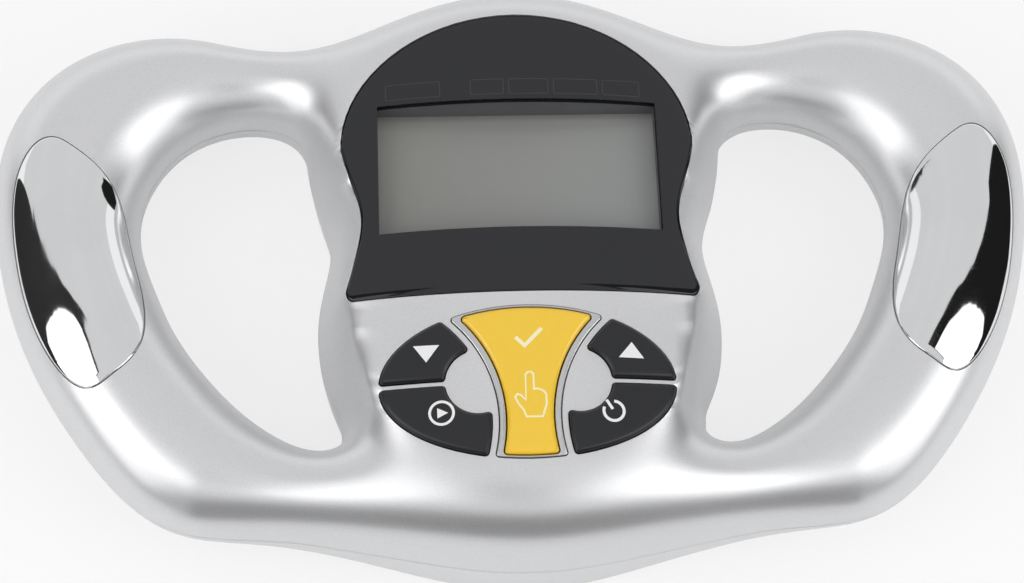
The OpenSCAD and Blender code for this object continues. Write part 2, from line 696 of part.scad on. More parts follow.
// A boss under the front shell, with a rib that runs along the wall
module front_boss(h) {
    top = parting_z + h[1] - 0.8 * wall;
    translate([0, 0, post_top + seat_gap]) cylinder(d = boss_d, h = top - post_top - seat_gap);
    rotate([90, 0, h[3]]) linear_extrude(rib_t, center = true)
        polygon([[0, parting_z + 3], [rib_reach, top - wall], [rib_reach, top], [0, top]]);
}
module front_shell() {
    color("silver") difference() {
        union() {
            shell(true);
            intersection() {
                prism(board_z, crown_z) offset(delta = shelf_edge) lens_outline();
                dome_band(lens_under - 0.1, lens_under + shelf_t);
            }
            both_sides() {
                for (h = shell_holes) translate(h[0]) front_boss(h);
                for (p = board_holes) translate([p[0], p[1], board_z])
                    cylinder(d = board_boss_d, h = dome_z(p[0]) - wall / 2 - board_z - lens_recess);
            }
        }
        difference() {
            prism(board_z, crown_z + 1) offset(delta = lens_gap) lens_outline();
            under_dome(lens_under);
        }
        translate([0, window_y, 0]) prism(board_z, crown_z)
            square([window_w + 2 * (frame_t + fit), window_h + 2 * (frame_t + fit)], center = true);
        translate([0, window_y, 0]) prism(board_z, glass_top + frame_flange_t + fit)
            square([glass_w + 2 * (frame_side + fit), window_h], center = true);
        prism(board_z, crown_z + 1) both_sides() for (up = [true, false])
            offset(delta = key_gap) side_outline(up);
        prism(board_z, crown_z + 1) offset(delta = seat_gap) bezel_outline();
        pad_pockets(true);
        at_shell_holes() translate([0, 0, post_top])
            cylinder(d = screw_d + 2 * pilot_gap, h = screw_l - post_seat + 1);
        at_board_holes() translate([0, 0, board_z - 1])
            cylinder(d = board_screw_d + 2 * pilot_gap, h = board_screw_l - board_t + 1.3);
    }
}
recess_w = door_w + 2 * door_gap;
recess_h = door_h + 2 * door_gap;
recess_z = door_z + door_t + 0.2;
ledge_t = 1.4;
ledge_edge = 2;
module bay_box(grow, low, high, r) {
    translate([0, bay_y, 0]) prism(low, high) plate(bay_w + 2 * grow, bay_h + 2 * grow, r);
}
module rear_shell() {
    color("silver") difference() {
        union() {
            shell(false);
            both_sides() for (h = shell_holes) translate([h[0][0], h[0][1], parting_z - h[2] + wall / 2])
                cylinder(d = post_od, h = post_top - parting_z + h[2] - wall / 2);
            bay_box(door_edge + door_gap + ledge_edge, wall / 2, recess_z + ledge_t, door_r + 1);
            bay_box(bay_wall, wall / 2, bay_top + bay_wall, 1);
        }
        bay_box(0, -1, bay_top, 0.4);
        translate([0, bay_y, 0]) prism(-1, recess_z) plate(recess_w, recess_h, door_r);
        translate([-7, bay_y - door_h / 2 - door_gap, -3]) rotate([0, 90, 0]) cylinder(r = 4.3, h = 14);
        both_sides() {
            for (h = shell_holes) translate(h[0]) {
                translate([0, 0, -1]) cylinder(d = screw_head_d + 0.6, h = seat_z + 1);
                cylinder(d = screw_d + 2 * shank_gap, h = parting_z);
            }
            translate([0, hinge_y, hinge_z]) rotate([0, 90, 0])
                cylinder(d = pin_d + 2 * pin_gap, h = door_w / 2 + pin_l + fit);
            translate([lead_x, bay_y, bay_top - 1]) cylinder(d = lead_hole_d, h = bay_wall + 2);
        }
        pad_pockets(false);
    }
}

front_shell();
rear_shell();
display_lens();
lcd_frame();
lcd_glass();
zebra_strips();
main_board();
chip_cover();
key_mat();
down_dome();
up_dome();
start_dome();
power_dome();
set_dome();
down_key();
up_key();
start_key();
power_key();
set_key();
set_key_bezel();
left_front_electrode();
right_front_electrode();
left_rear_electrode();
right_rear_electrode();
electrode_leads();
battery_cell_a();
battery_cell_b();
battery_springs();
battery_plates();
battery_leads();
battery_door();
shell_screws();
board_screws();
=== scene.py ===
import math

import bmesh
import bpy
import numpy as np
from bpy.props import FloatProperty, FloatVectorProperty, PointerProperty
from mathutils import Matrix, Vector
from mathutils.geometry import convex_hull_2d, delaunay_2d_cdt
from mathutils.kdtree import KDTree


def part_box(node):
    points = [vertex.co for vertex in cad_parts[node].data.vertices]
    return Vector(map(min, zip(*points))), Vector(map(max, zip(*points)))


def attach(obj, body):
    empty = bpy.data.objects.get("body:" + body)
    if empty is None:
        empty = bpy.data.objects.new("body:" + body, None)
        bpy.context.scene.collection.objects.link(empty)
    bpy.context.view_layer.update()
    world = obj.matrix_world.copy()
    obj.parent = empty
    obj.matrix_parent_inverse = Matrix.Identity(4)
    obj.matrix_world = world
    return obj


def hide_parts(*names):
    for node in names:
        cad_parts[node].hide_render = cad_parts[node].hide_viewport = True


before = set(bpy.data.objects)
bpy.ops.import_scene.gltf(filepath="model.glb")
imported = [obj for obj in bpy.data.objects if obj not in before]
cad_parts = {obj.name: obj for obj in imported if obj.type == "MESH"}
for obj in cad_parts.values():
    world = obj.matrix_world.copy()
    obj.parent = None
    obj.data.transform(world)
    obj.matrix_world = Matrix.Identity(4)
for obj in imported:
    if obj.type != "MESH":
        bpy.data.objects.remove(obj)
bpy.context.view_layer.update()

bl_info = {
    "name": "Body Fat Analyzer",
    "version": (1, 0, 0),
    "blender": (4, 5, 0),
    "location": "View3D > Sidebar > Analyzer",
    "description": "Dresses a handheld body fat analyzer and sets its studio",
    "category": "Object",
}

# Lengths are millimetres here until they become mesh points
MM = 0.001
HOUSING = "housing"
DARK_KEYS = ("down_key", "up_key", "start_key", "power_key")

# Heights and walls of the body, and the clearance of what is seated in it, as in the solids
PARTING_Z = 17.0
CROWN_Z = 37.0
DOME_R = 130.0
DOME_HALF = 34.0
WALL = 2.2
SEAT_GAP = 0.05
BLEND_K = 3.0
HANDLE_POWER = 2.1
POD_FRONT_POWER = 3.0
POD_REAR_POWER = 5.0

# Plan of the right half, from the top middle round the handle to the bottom middle:
# outer edge x, y, ridge x, y, loop edge x, y, rise above the seam, depth below it
RIBS = np.array([
    [0, 60, 0, 42, 40.6, 19, 24, 24],
    [10, 59, 10, 42, 41.2, 22, 24, 24],
    [20, 55.8, 20, 42, 41.6, 24.8, 22.5, 22],
    [29, 51.6, 30, 41.6, 42.1, 27.6, 18.5, 17],
    [38, 48.9, 39, 41.2, 44, 30.9, 13.5, 12.5],
    [47, 49.1, 47.5, 41.2, 48.8, 33, 11, 10],
    [57, 51.1, 57, 42.2, 56.5, 33, 10.8, 9.8],
    [68, 52.9, 66.5, 42, 64, 30.2, 11.6, 10.5],
    [80, 51.4, 75.5, 38.8, 69.3, 25.6, 12.8, 11.5],
    [91, 45.8, 83, 33, 72.6, 20.2, 13.6, 12.3],
    [98.8, 36.8, 87.2, 25.5, 74.3, 15, 14, 12.5],
    [102.6, 25.7, 88.8, 17.6, 74.6, 10.4, 14, 12.5],
    [103, 14, 88.5, 10, 74, 6.2, 14, 12.5],
    [101.2, 1.4, 87, 1.5, 72.6, 1.6, 14, 12.5],
    [98, -9.8, 84.5, -7, 70.6, -3.6, 14, 12.5],
    [93.2, -20.6, 81.3, -15, 68.2, -9.2, 13.8, 12.5],
    [86.5, -31.6, 76.4, -23.5, 64.7, -15.2, 13.5, 12.3],
    [77.5, -43, 70, -32, 59.5, -22, 13, 12],
    [67.5, -50.2, 60, -39.5, 53, -28.6, 12.2, 11.5],
    [56, -52.2, 50.5, -42.8, 46.5, -33.2, 12, 11.5],
    [45, -53, 42, -44.6, 40.5, -36.2, 13, 12.5],
    [34, -55, 32, -45.5, 36.8, -36.2, 16, 15],
    [22, -57.3, 20, -45.5, 35.3, -34, 20, 20],
    [10, -59.4, 10, -45.5, 35.3, -31.5, 23, 23.5],
    [0, -60, 0, -45.5, 35.6, -29, 24, 24],
])
# The pod's side between the two ends of the loop, with the points of the middle line
SIDE = np.array([
    [40.6, 19, 0, 42], [39.4, 14, 0, 31], [37.8, 9.5, 0, 20], [37, 5, 0, 10], [37.7, 0.5, 0, 0],
    [38.9, -5, 0, -10], [39.6, -11, 0, -19], [39.2, -18, 0, -28], [37.8, -24, 0, -36], [35.6, -29, 0, -45.5],
])
LAST_RIB = len(RIBS) - 1
LAST_SIDE = len(SIDE) - 1

# Sections of the skins between two ribs, points from the seam to the ridge, and the angle of a sharp edge
SKIN_STEPS = 8
SKIN_ROWS = 26
SHELL_SHARP = 40

# The skins are ironed smooth away from the seam, from seated pieces, from the handles and from the flat back:
# where each of these starts to let go, and over which length
IRON_SEAM = (1.0, 4.0)
IRON_SEAT = (0.4, 8.0)
IRON_HANDLE = (-62.0, 12.0)
IRON_BACK = (0.3, 6.0)
FRONT_ROUNDS = 140
REAR_ROUNDS = 40

# Display and keys
WINDOW = (0.0, 16.3)
WINDOW_SIZE = (54.6, 27.2)
KEY_PROUD = 1.0
KEY_LOW = 4.0
KEY_GAP = 0.25
LENS_GAP = 0.2
THROUGH_FRONT = (26, 45)
BAND_GAP = 0.2
LENS_RECESS = 0.15
LENS_T = 1.6
LENS_FOOT_Y = -8

# Label frames over the display: their ends, middle, height and corners, and the width and height of their ink
LABELS = ((-25.6, -15.0), (-9.0, -2.6), (-1.5, 6.2), (7.3, 15.9), (17.0, 24.3))
LABEL_Y = 32.6
LABEL_H = 3.2
LABEL_R = 0.3
LABEL_LINE = 0.16
LABEL_INK = 0.012

# Electrode plates: the rib at their middle, half their length in ribs, and their reach from the ridge
PAD_MID = 13.0
PAD_HALF = 2.9
PAD_POWER = 2.8
PAD_OUTER_SPAN = 44.0
PAD_INNER_SPAN = 57.0
PAD_SKEW = 9.0
PAD_T = 1.0
PAD_PROUD = 0.15
PAD_GAP = 0.15
DEGREES_PER_MM = 6.0
RIBS_PER_MM = 0.09

# Battery bay
BAY_Y = 8.0
BAY_W = 52.4
BAY_H = 22.6
BAY_TOP = 13.2
BAY_WALL = 1.4
BAY_R = 0.4
BAY_OUTER_R = 1
BAY_OVERLAP = 0.5
DOOR_W = 56.4
DOOR_H = 26.6
DOOR_GAP = 0.3
DOOR_R = 2.0
RECESS_Z = 2.2
THROUGH_REAR = (-1, 6)
NOTCH_HALF = 7
NOTCH_R = 4.3
NOTCH_Z = -3
CELL_Z = 7.45
CELL_PITCH = 11.1
SPRING_SEAT = 0.8
PLATE_T = 0.4

# Wells of the shell screws: the screws' seat, the wells' ends, their openings and their radii
SEAT_Z = 14.2
POST_TOP = 16.0
POD_WELL_FOOT = WALL - 0.4
HANDLE_WELL_FOOT = PARTING_Z - 9.8 + WALL - 0.6
WELL_CUT_R = 2.4
WELL_CUT = (-1, 15)
WELL_R = 2.42
WELL_OUTER_R = 3.2
WELL_HOLE_R = 1.3

# Heads of the screws that hold the board
BOARD_HEAD_W = 3.6
BOARD_HEAD_H = 1.3

# Camera: azimuth, elevation and roll in degrees, what it aims at, its distance in metres,
# its sensor's width and its lens
CAMERA_ANGLES = (-8.51, 68.0, 6.83)
CAMERA_AIM = (-1.30, -2.75, 17)
CAMERA_FAR = 0.45
CAMERA_SENSOR = 36
CAMERA_LENS = CAMERA_SENSOR * 2272.6 / 1024

# Floor and soft boxes, in metres
FLOOR_HALF = 1.6
FLOOR_Z = -0.0002
BOX_SIZE = (0.4, 0.6)
BOX_AT = (0.455, -0.212, 0.364)

# Reflection cards beside the object, in rows of elevation and two azimuths in degrees:
# the leaning tip of the dark card, and the pale pane before it
CARDS_AT = (85, -10, 30)
CARD_ROWS = 30
CARD_COLUMNS = 24
TIP = np.array([(42, 60, 104), (50, 60, 104), (57, 55, 102), (63, 45, 96), (67, 34, 85), (70, 22, 60)])
PANE = np.array([
    (12, 94, 102), (20, 90, 105), (30, 87, 107), (40, 83, 106), (50, 76, 104), (58, 67, 99), (64, 57, 90),
    (67.5, 48, 74), (69, 46, 58)])


# Curves and the body's surface
def pulled(control):
    """Moves inner control rows so that the curve passes close to where they were."""
    out = control.astype(float).copy()
    out[1:-1] -= (control[:-2] - 2 * control[1:-1] + control[2:]) / 6
    return out


def curve(control, u):
    """Points of a uniform cubic curve over its control rows."""
    u = np.asarray(u, float)
    i = np.clip(np.floor(u).astype(int), 0, len(control) - 4)
    t = (u - i)[:, None]
    s = 1 - t
    return (s**3 * control[i] + (3 * t**3 - 6 * t**2 + 4) * control[i + 1]
            + (3 * s**3 - 6 * s**2 + 4) * control[i + 2] + t**3 * control[i + 3]) / 6


def across(row, edge):
    """A row of RIBS mirrored to the left half, with another loop edge."""
    return np.array([-row[0], row[1], -row[2], row[3], edge[0], edge[1], row[6], row[7]])


RIB_CONTROL = pulled(np.vstack([across(RIBS[1], SIDE[1]), RIBS, across(RIBS[-2], SIDE[-2])]))
SIDE_CONTROL = pulled(np.vstack([[*RIBS[1][4:6], 0, 53], SIDE, [*RIBS[-2][4:6], 0, -55]]))


def rib(u):
    """Rows of the plan's curve at stations u."""
    return curve(RIB_CONTROL, u)


def side(w):
    """Rows of the pod's side at stations w, which ends where the loop's edge does."""
    w = np.asarray(w, float)
    rows = curve(SIDE_CONTROL, w)
    for mask, u in ((w <= 0, 0.0), (w >= LAST_SIDE, float(LAST_RIB))):
        corner = rib([u])[0]
        rows[mask] = [corner[4], corner[5], 0, corner[3]]
    return rows


def unit(v):
    """Vectors scaled to a length of 1."""
    return v / np.linalg.norm(v, axis=-1, keepdims=True)


def turned(v):
    """Plan vectors turned a quarter turn to the left."""
    return np.stack([-v[..., 1], v[..., 0]], -1)


def outward(kind, u):
    """Plan normals of the outer edge (0), the loop's edge (1) or the pod's side (2)."""
    probe = 0.02
    u = np.asarray(u, float)
    if kind == 2:
        out = unit(turned(side(u + probe)[:, :2] - side(u - probe)[:, :2]))
        out[u <= 0] = outward(1, [0.0])[0]
        out[u >= LAST_SIDE] = outward(1, [float(LAST_RIB)])[0]
        return out
    first = 4 * kind
    run = rib(u + probe)[:, first:first + 2] - rib(u - probe)[:, first:first + 2]
    if kind == 1:
        run[u <= 0] = RIBS[1][4:6] - SIDE[1][:2]
        run[u >= LAST_RIB] = SIDE[-2][:2] - RIBS[-2][4:6]
        return -unit(turned(run))
    out = unit(turned(run))
    out[u <= 0] = [0, 1]
    out[u >= LAST_RIB] = [0, -1]
    return out


def arc_drop(x):
    """How far the front's arc lies below the crown at x. It goes on level past the dome."""
    a = np.minimum(np.abs(x), DOME_HALF)
    return DOME_R - np.sqrt(DOME_R**2 - a**2)


def dome_z(x):
    """Height of the curved front at x."""
    return CROWN_Z - arc_drop(x)


def soft_min(a, b):
    """The lower of two heights, blended where they are nearly the same."""
    return np.minimum(a, b) - np.maximum(BLEND_K - np.abs(a - b), 0)**2 / 4 / BLEND_K


def stations(kind, u, front):
    """Edge, ridge, outward normal, rise and roundness of the sections at stations u."""
    u = np.asarray(u, float)
    pod_power = POD_FRONT_POWER if front else POD_REAR_POWER
    height = 6 if front else 7
    if kind == 2:
        rows = side(u)
        t = u / LAST_SIDE
        ends = rib([0.0, float(LAST_RIB)])[:, height]
        rise = (1 - t) * ends[0] + t * ends[1]
        return rows[:, :2], rows[:, 2:], outward(2, u), rise, np.full(len(u), pod_power)
    rows = rib(u)
    reach = np.maximum(0, 1 - u / 5) + np.maximum(0, 1 - (LAST_RIB - u) / 5)
    power = HANDLE_POWER + (pod_power - HANDLE_POWER) * reach
    edge = rows[:, 4 * kind:4 * kind + 2]
    if kind == 0:
        edge[(u <= 0) | (u >= LAST_RIB), 0] = 0
    ridge = rows[:, 2:4].copy()
    ridge[(u <= 0) | (u >= LAST_RIB), 0] = 0
    return edge, ridge, outward(kind, u), rows[:, height], power


def skin_points(kind, u, front, d, angle):
    """Points of the skin moved out by d, at sections u and angles up from the seam, all of one shape."""
    u, d, angle = np.broadcast_arrays(*(np.asarray(value, float) for value in (u, d, angle)))
    edge, ridge, normal, rise, power = stations(kind, u.ravel(), front)
    d, degrees = d.ravel(), angle.ravel()
    a = np.radians(degrees)
    expo = 2 / power
    f = np.where(degrees >= 90, 1.0, 1 - np.cos(a).clip(0)**expo)[:, None]
    start = edge + d[:, None] * normal
    p = start + (ridge - start) * f
    up = (rise + d) * np.sin(a).clip(0)**expo
    if front:
        up = soft_min(up, CROWN_Z - PARTING_Z - arc_drop(p[:, 0]) + d)
    else:
        up = -soft_min(up, PARTING_Z + d)
    z = PARTING_Z + np.where(degrees <= 0, 0.0, up)
    return np.column_stack([p, z]).reshape(u.shape + (3,))


def even_angles(kind, u, front, rows):
    """Angles that space each section's points evenly from the seam to the ridge."""
    dense = np.degrees(np.arcsin(np.linspace(0, 1, 60)**3))
    dense = np.unique(np.concatenate([dense, np.linspace(0, 90, 60), 90 - dense]))
    wide, deep = np.repeat(u[:, None], len(dense), 1), np.repeat(dense[None], len(u), 0)
    grid = skin_points(kind, wide, front, 0.0, deep)
    length = np.cumsum(np.linalg.norm(np.diff(grid, axis=1), axis=2), 1)
    length = np.hstack([np.zeros((len(u), 1)), length])
    # The first rows lie close to the seam, where the groove is
    marks = np.concatenate([[0, 0.12, 0.35], np.linspace(1.0, 1, rows)])
    out = np.empty((len(u), rows + 3))
    for k, run in enumerate(length):
        marks[3:] = np.linspace(1.0, run[-1], rows)
        out[k] = np.interp(marks, run, dense)
    out[:, 0], out[:, -1] = 0, 90
    return out


# Meshes
def make_mesh(name, points, faces):
    """A mesh from points in millimetres."""
    mesh = bpy.data.meshes.new(name)
    mesh.from_pydata((np.asarray(points, float) * MM).tolist(), [], [list(map(int, f)) for f in faces])
    return mesh


def joined(name, grids, merge=0.002):
    """One mesh from grids of points, with doubles within a distance merged and faces turned outwards."""
    b = bmesh.new()
    for grid in grids:
        rows, cols = grid.shape[:2]
        verts = [b.verts.new(p) for p in (grid.reshape(-1, 3) * MM).tolist()]
        for i in range(rows - 1):
            for j in range(cols - 1):
                k = i * cols + j
                b.faces.new((verts[k], verts[k + 1], verts[k + cols + 1], verts[k + cols]))
    bmesh.ops.remove_doubles(b, verts=b.verts, dist=merge * MM)
    bmesh.ops.dissolve_degenerate(b, edges=b.edges, dist=1e-7)
    bmesh.ops.recalc_face_normals(b, faces=b.faces)
    mesh = bpy.data.meshes.new(name)
    b.to_mesh(mesh)
    b.free()
    return mesh


def settled(obj):
    """The mesh that an object's modifiers give, which are then removed."""
    bpy.context.view_layer.update()
    done = bpy.data.meshes.new_from_object(obj.evaluated_get(bpy.context.evaluated_depsgraph_get()))
    obj.modifiers.clear()
    return done


def place(name, mesh, sharp=35.0):
    """Adds an object at the origin, shaded smooth up to a sharp angle in degrees."""
    old = bpy.data.objects.get(name)
    if old:
        bpy.data.objects.remove(old)
    obj = bpy.data.objects.new(name, mesh)
    bpy.context.scene.collection.objects.link(obj)
    mesh.shade_smooth()
    mesh.set_sharp_from_angle(angle=math.radians(sharp))
    return obj


def dress(obj, material, body, slot, *nodes):
    """Gives a finished piece its material, its body and the CAD nodes that it stands for. The slot is not
    used.
    """
    obj.data.materials.clear()
    obj.data.materials.append(material)
    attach(obj, body)
    if nodes:
        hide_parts(*nodes)
    return obj


def show_node(node, material):
    """Gives a CAD node that shows as it is its own finish."""
    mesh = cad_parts[node].data
    mesh.materials.clear()
    mesh.materials.append(material)


def carve(obj, tools, sharp=35.0, operation="DIFFERENCE"):
    """Cuts closed meshes out of an object, or joins them to it, one after another, and removes them."""
    for mesh in tools:
        tool = bpy.data.objects.new("tool", mesh)
        bpy.context.scene.collection.objects.link(tool)
        cut = obj.modifiers.new("cut", "BOOLEAN")
        cut.operation = operation
        cut.solver = "MANIFOLD"
        cut.object = tool
        done = settled(obj)
        if not done.polygons or len(done.polygons) == len(obj.data.polygons):
            raise RuntimeError(f"a cut in {obj.name} failed")
        old, obj.data = obj.data, done
        bpy.data.meshes.remove(old)
        bpy.data.objects.remove(tool)
        bpy.data.meshes.remove(mesh)
    obj.data.shade_smooth()
    obj.data.set_sharp_from_angle(angle=math.radians(sharp))
    return obj


def rims(node):
    """Plan outlines in millimetres of the highest faces of a CAD node, the longest first."""
    b = bmesh.new()
    b.from_mesh(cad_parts[node].data)
    bmesh.ops.remove_doubles(b, verts=b.verts, dist=2e-6)
    links = {}
    for e in b.edges:
        if len(e.link_faces) != 2:
            continue
        # A rim lies between a face that points up and an upright wall
        low, high = sorted(f.normal.z for f in e.link_faces)
        if high > 0.5 and abs(low) < 0.3:
            v, w = e.verts
            links.setdefault(v, []).append(w)
            links.setdefault(w, []).append(v)
    loops, seen = [], set()
    for start in links:
        if start in seen:
            continue
        loop, here = [start], links[start][0]
        seen.add(start)
        while here not in seen:
            seen.add(here)
            loop.append(here)
            here = next((w for w in links[here] if w not in seen), start)
        loops.append(np.array([v.co[:] for v in loop]) / MM)
    b.free()
    top = max(p[:, 2].mean() for p in loops)
    loops = [p[:, :2] for p in loops if len(p) > 8 and p[:, 2].mean() > top - 1.5]
    return [anticlockwise(p) for p in sorted(loops, key=lambda p: -perimeter(p))]


def perimeter(loop):
    return np.linalg.norm(loop - np.roll(loop, 1, 0), axis=1).sum()


def area(loop):
    """Area inside a loop, negative if it runs clockwise."""
    ahead = np.roll(loop, -1, 0)
    return np.sum(loop[:, 0] * ahead[:, 1] - ahead[:, 0] * loop[:, 1]) / 2


def anticlockwise(loop):
    return loop if area(loop) > 0 else loop[::-1]


def stepped(loop, step):
    """A closed loop with points about one step apart, its corners kept."""
    out = []
    for a, b in zip(loop, np.roll(loop, -1, 0)):
        n = max(1, int(round(np.linalg.norm(b - a) / step)))
        out += [a + (b - a) * k / n for k in range(n)]
    return np.array(out)


def grown(loop, d):
    """A closed anticlockwise loop moved out by d."""
    before, after = -turned(unit(loop - np.roll(loop, 1, 0))), -turned(unit(np.roll(loop, -1, 0) - loop))
    middle = unit(before + after)
    return loop + d * middle / np.maximum(0.5, (middle * before).sum(1))[:, None]


def inside(points, loop):
    """Which of the points lie inside a loop."""
    x, y = points[:, 0][:, None], points[:, 1][:, None]
    x1, y1 = loop.T
    x2, y2 = np.roll(loop, -1, 0).T
    rise = np.where(y2 == y1, 1e-9, y2 - y1)
    return (((y1 > y) != (y2 > y)) & (x < (x2 - x1) * (y - y1) / rise + x1)).sum(1) % 2 == 1


def filled(loop, step):
    """Points and triangles that fill a loop evenly. The loop's own points come first."""
    low, high = loop.min(0), loop.max(0)
    rows = np.arange(low[1], high[1], 0.87 * step)
    columns = np.arange(low[0], high[0], step)
    grid = np.array([[x + (j % 2) * step / 2, y] for j, y in enumerate(rows) for x in columns])
    if len(grid):
        grid = grid[inside(grid, loop)]
    if len(grid):
        gap = np.sqrt(((grid[:, None] - loop[None])**2).sum(2)).min(1)
        grid = grid[gap > 0.6 * step]
    points = np.vstack([loop, grid]) if len(grid) else loop
    edges = [(k, (k + 1) % len(loop)) for k in range(len(loop))]
    verts, _, faces, *_ = delaunay_2d_cdt([Vector(p) for p in points], edges, [], 1, 1e-6)
    points = np.array([v[:] for v in verts])
    return points, [list(f) if area(points[f]) > 0 else list(f)[::-1] for f in faces]


def plate(name, loop, top, low, edge_r=0.0, step=1.5, turns=4):
    """A closed plate over a loop, with faces that follow top(x, y) and low(x, y) and a rounded upper rim."""
    count = len(loop)
    fill, faces = filled(grown(loop, -edge_r) if edge_r else loop, step)
    if len(fill) < count:
        raise RuntimeError(f"{name} has a tangled outline")
    layers = [np.column_stack([fill, top(*fill.T)])]
    for a in np.radians(np.linspace(90, 0, turns + 1))[1:] if edge_r else ():
        ring = grown(loop, -edge_r * (1 - math.cos(a)))
        layers.append(np.column_stack([ring, top(*ring.T) - edge_r * (1 - math.sin(a))]))
    under = fill.copy()
    under[:count] = loop
    layers.append(np.column_stack([under, low(*under.T)]))
    first = [0] + [len(fill) + count * k for k in range(len(layers) - 1)]
    quads = []
    for upper, lower in zip(first, first[1:]):
        for k in range(count):
            m = (k + 1) % count
            quads.append([upper + k, lower + k, lower + m, upper + m])
    last = first[-1]
    back = [[last + v for v in reversed(f)] for f in faces]
    return make_mesh(name, np.vstack(layers), faces + quads + back)


def prism(loop, low, high):
    """A closed straight-sided block over a loop."""
    n = len(loop)
    points = np.vstack([np.column_stack([loop, np.full(n, float(z))]) for z in (low, high)])
    walls = [[k, (k + 1) % n, n + (k + 1) % n, n + k] for k in range(n)]
    return make_mesh("prism", points, [list(range(n))[::-1], list(range(n, 2 * n))] + walls)


def rounded(x, y, w, h, r, steps=6):
    """The outline of a rectangle with round corners, about its middle."""
    out = []
    for sx, sy, start in ((1, 1, 0), (-1, 1, 90), (-1, -1, 180), (1, -1, 270)):
        for a in np.radians(np.linspace(start, start + 90, steps + 1)):
            out.append([x + sx * (w / 2 - r) + r * math.cos(a), y + sy * (h / 2 - r) + r * math.sin(a)])
    return np.array(out)


def circle(x, y, r, n=48):
    """A circle's outline."""
    a = np.linspace(0, 2 * math.pi, n, endpoint=False)
    return np.column_stack([x + r * np.cos(a), y + r * np.sin(a)])


def revolved(name, profile, centres, n=48):
    """Closed rings of a profile of radii and heights, one round each centre."""
    points, faces = [], []
    rows = len(profile)
    for x, y in centres:
        base = len(points)
        for r, z in profile:
            points += [[px, py, z] for px, py in circle(x, y, r, n)]
        for i in range(rows):
            for k in range(n):
                a, b = base + i * n, base + (i + 1) % rows * n
                faces.append([a + k, a + (k + 1) % n, b + (k + 1) % n, b + k])
    return make_mesh(name, points, faces)


# Finishes
class Wire:
    """An output of a shader node that takes part in plain arithmetic."""

    def __init__(self, tree, socket):
        self.tree = tree
        self.socket = socket

    def node(self, kind, settings=None, inputs=None, out=0):
        """Adds a node, sets it up, fills or links its inputs, and returns one output."""
        made = self.tree.nodes.new(kind)
        for key, value in (settings or {}).items():
            setattr(made, key, value)
        for key, value in (inputs or {}).items():
            if isinstance(value, Wire):
                self.tree.links.new(value.socket, made.inputs[key])
            else:
                made.inputs[key].default_value = value
        return Wire(self.tree, made.outputs[out])

    def output(self, name):
        """Another output of the same node."""
        return Wire(self.tree, self.socket.node.outputs[name])

    def math(self, operation, *values):
        """A Math node on values and wires."""
        return self.node("ShaderNodeMath", {"operation": operation}, dict(enumerate(values)))

    def __add__(self, other):
        return self.math("ADD", self, other)

    def __radd__(self, other):
        return self.math("ADD", other, self)

    def __sub__(self, other):
        return self.math("SUBTRACT", self, other)

    def __rsub__(self, other):
        return self.math("SUBTRACT", other, self)

    def __mul__(self, other):
        return self.math("MULTIPLY", self, other)

    def __abs__(self):
        return self.math("ABSOLUTE", self)

    def __lt__(self, other):
        return self.math("LESS_THAN", self, other)

    def __gt__(self, other):
        return self.math("GREATER_THAN", self, other)

    def smallest(self, other):
        """The lower of two values."""
        return self.math("MINIMUM", self, other)

    def faded(self, start, end):
        """0 before start and 1 after end, with a soft step between them."""
        inputs = {"Value": self, "From Min": start, "From Max": end}
        return self.node("ShaderNodeMapRange", {"interpolation_type": "SMOOTHSTEP"}, inputs)

    def blended(self, first, second):
        """The first colour where this is 0 and the second where it is 1."""
        return self.node("ShaderNodeMix", {"data_type": "RGBA"}, {0: self, 6: first, 7: second}, 2)

    def noise(self, scale, detail=3.0, roughness=0.5):
        """Noise from 0 to 1 at a position, with about scale bumps in a metre."""
        inputs = {"Vector": self, "Scale": scale, "Detail": detail, "Roughness": roughness}
        return self.node("ShaderNodeTexNoise", None, inputs)

    def split(self):
        """X, Y and Z of a position."""
        parts = self.node("ShaderNodeSeparateXYZ", None, {0: self})
        return parts, parts.output("Y"), parts.output("Z")

    def bump(self, strength, distance):
        """A normal from this height."""
        inputs = {"Height": self, "Strength": strength, "Distance": distance}
        return self.node("ShaderNodeBump", None, inputs)


class Finish:
    """A material round one Principled shader, with object positions to paint by."""

    def __init__(self, name, **values):
        self.material = bpy.data.materials.new(name + "_finish")
        self.material.use_nodes = True
        self.tree = self.material.node_tree
        self.shader = self.tree.nodes["Principled BSDF"]
        self.surface = Wire(self.tree, self.shader.outputs[0])
        self.place = self.surface.node("ShaderNodeTexCoord", out="Object")
        self.give(**values)

    def give(self, **values):
        """Sets the shader's sockets, named in lower case with low lines, to values or links."""
        for key, value in values.items():
            socket = self.shader.inputs[key.replace("_", " ").title().replace("Ior", "IOR")]
            if isinstance(value, Wire):
                self.tree.links.new(value.socket, socket)
            elif hasattr(value, "__len__"):
                socket.default_value = (*value, 1.0) if len(value) == 3 else value
            else:
                socket.default_value = value
        return self.material


def colour4(colour, share=1.0):
    """A colour with its alpha, made darker or paler by a share."""
    return (*(c * share for c in colour), 1.0)


def kept(name, build):
    """The finish of that name, built at its first use."""
    return bpy.data.materials.get(name + "_finish") or build()


def plain_finish(name, colour, roughness, metallic=0.0, grain=900.0, relief=0.00002, shift=0.12):
    """A finish with small variations of tone and gloss and a fine grain."""
    def build():
        f = Finish(name, metallic=metallic)
        grains = f.place.noise(grain)
        patches = f.place.noise(40.0, 2.0)
        tone = patches.blended(colour4(colour, 1 - shift), colour4(colour, 1 + shift / 2))
        gloss = roughness * 0.9 + grains * (0.2 * roughness)
        return f.give(base_color=tone, roughness=gloss, normal=grains.bump(0.25, relief))
    return kept(name, build)


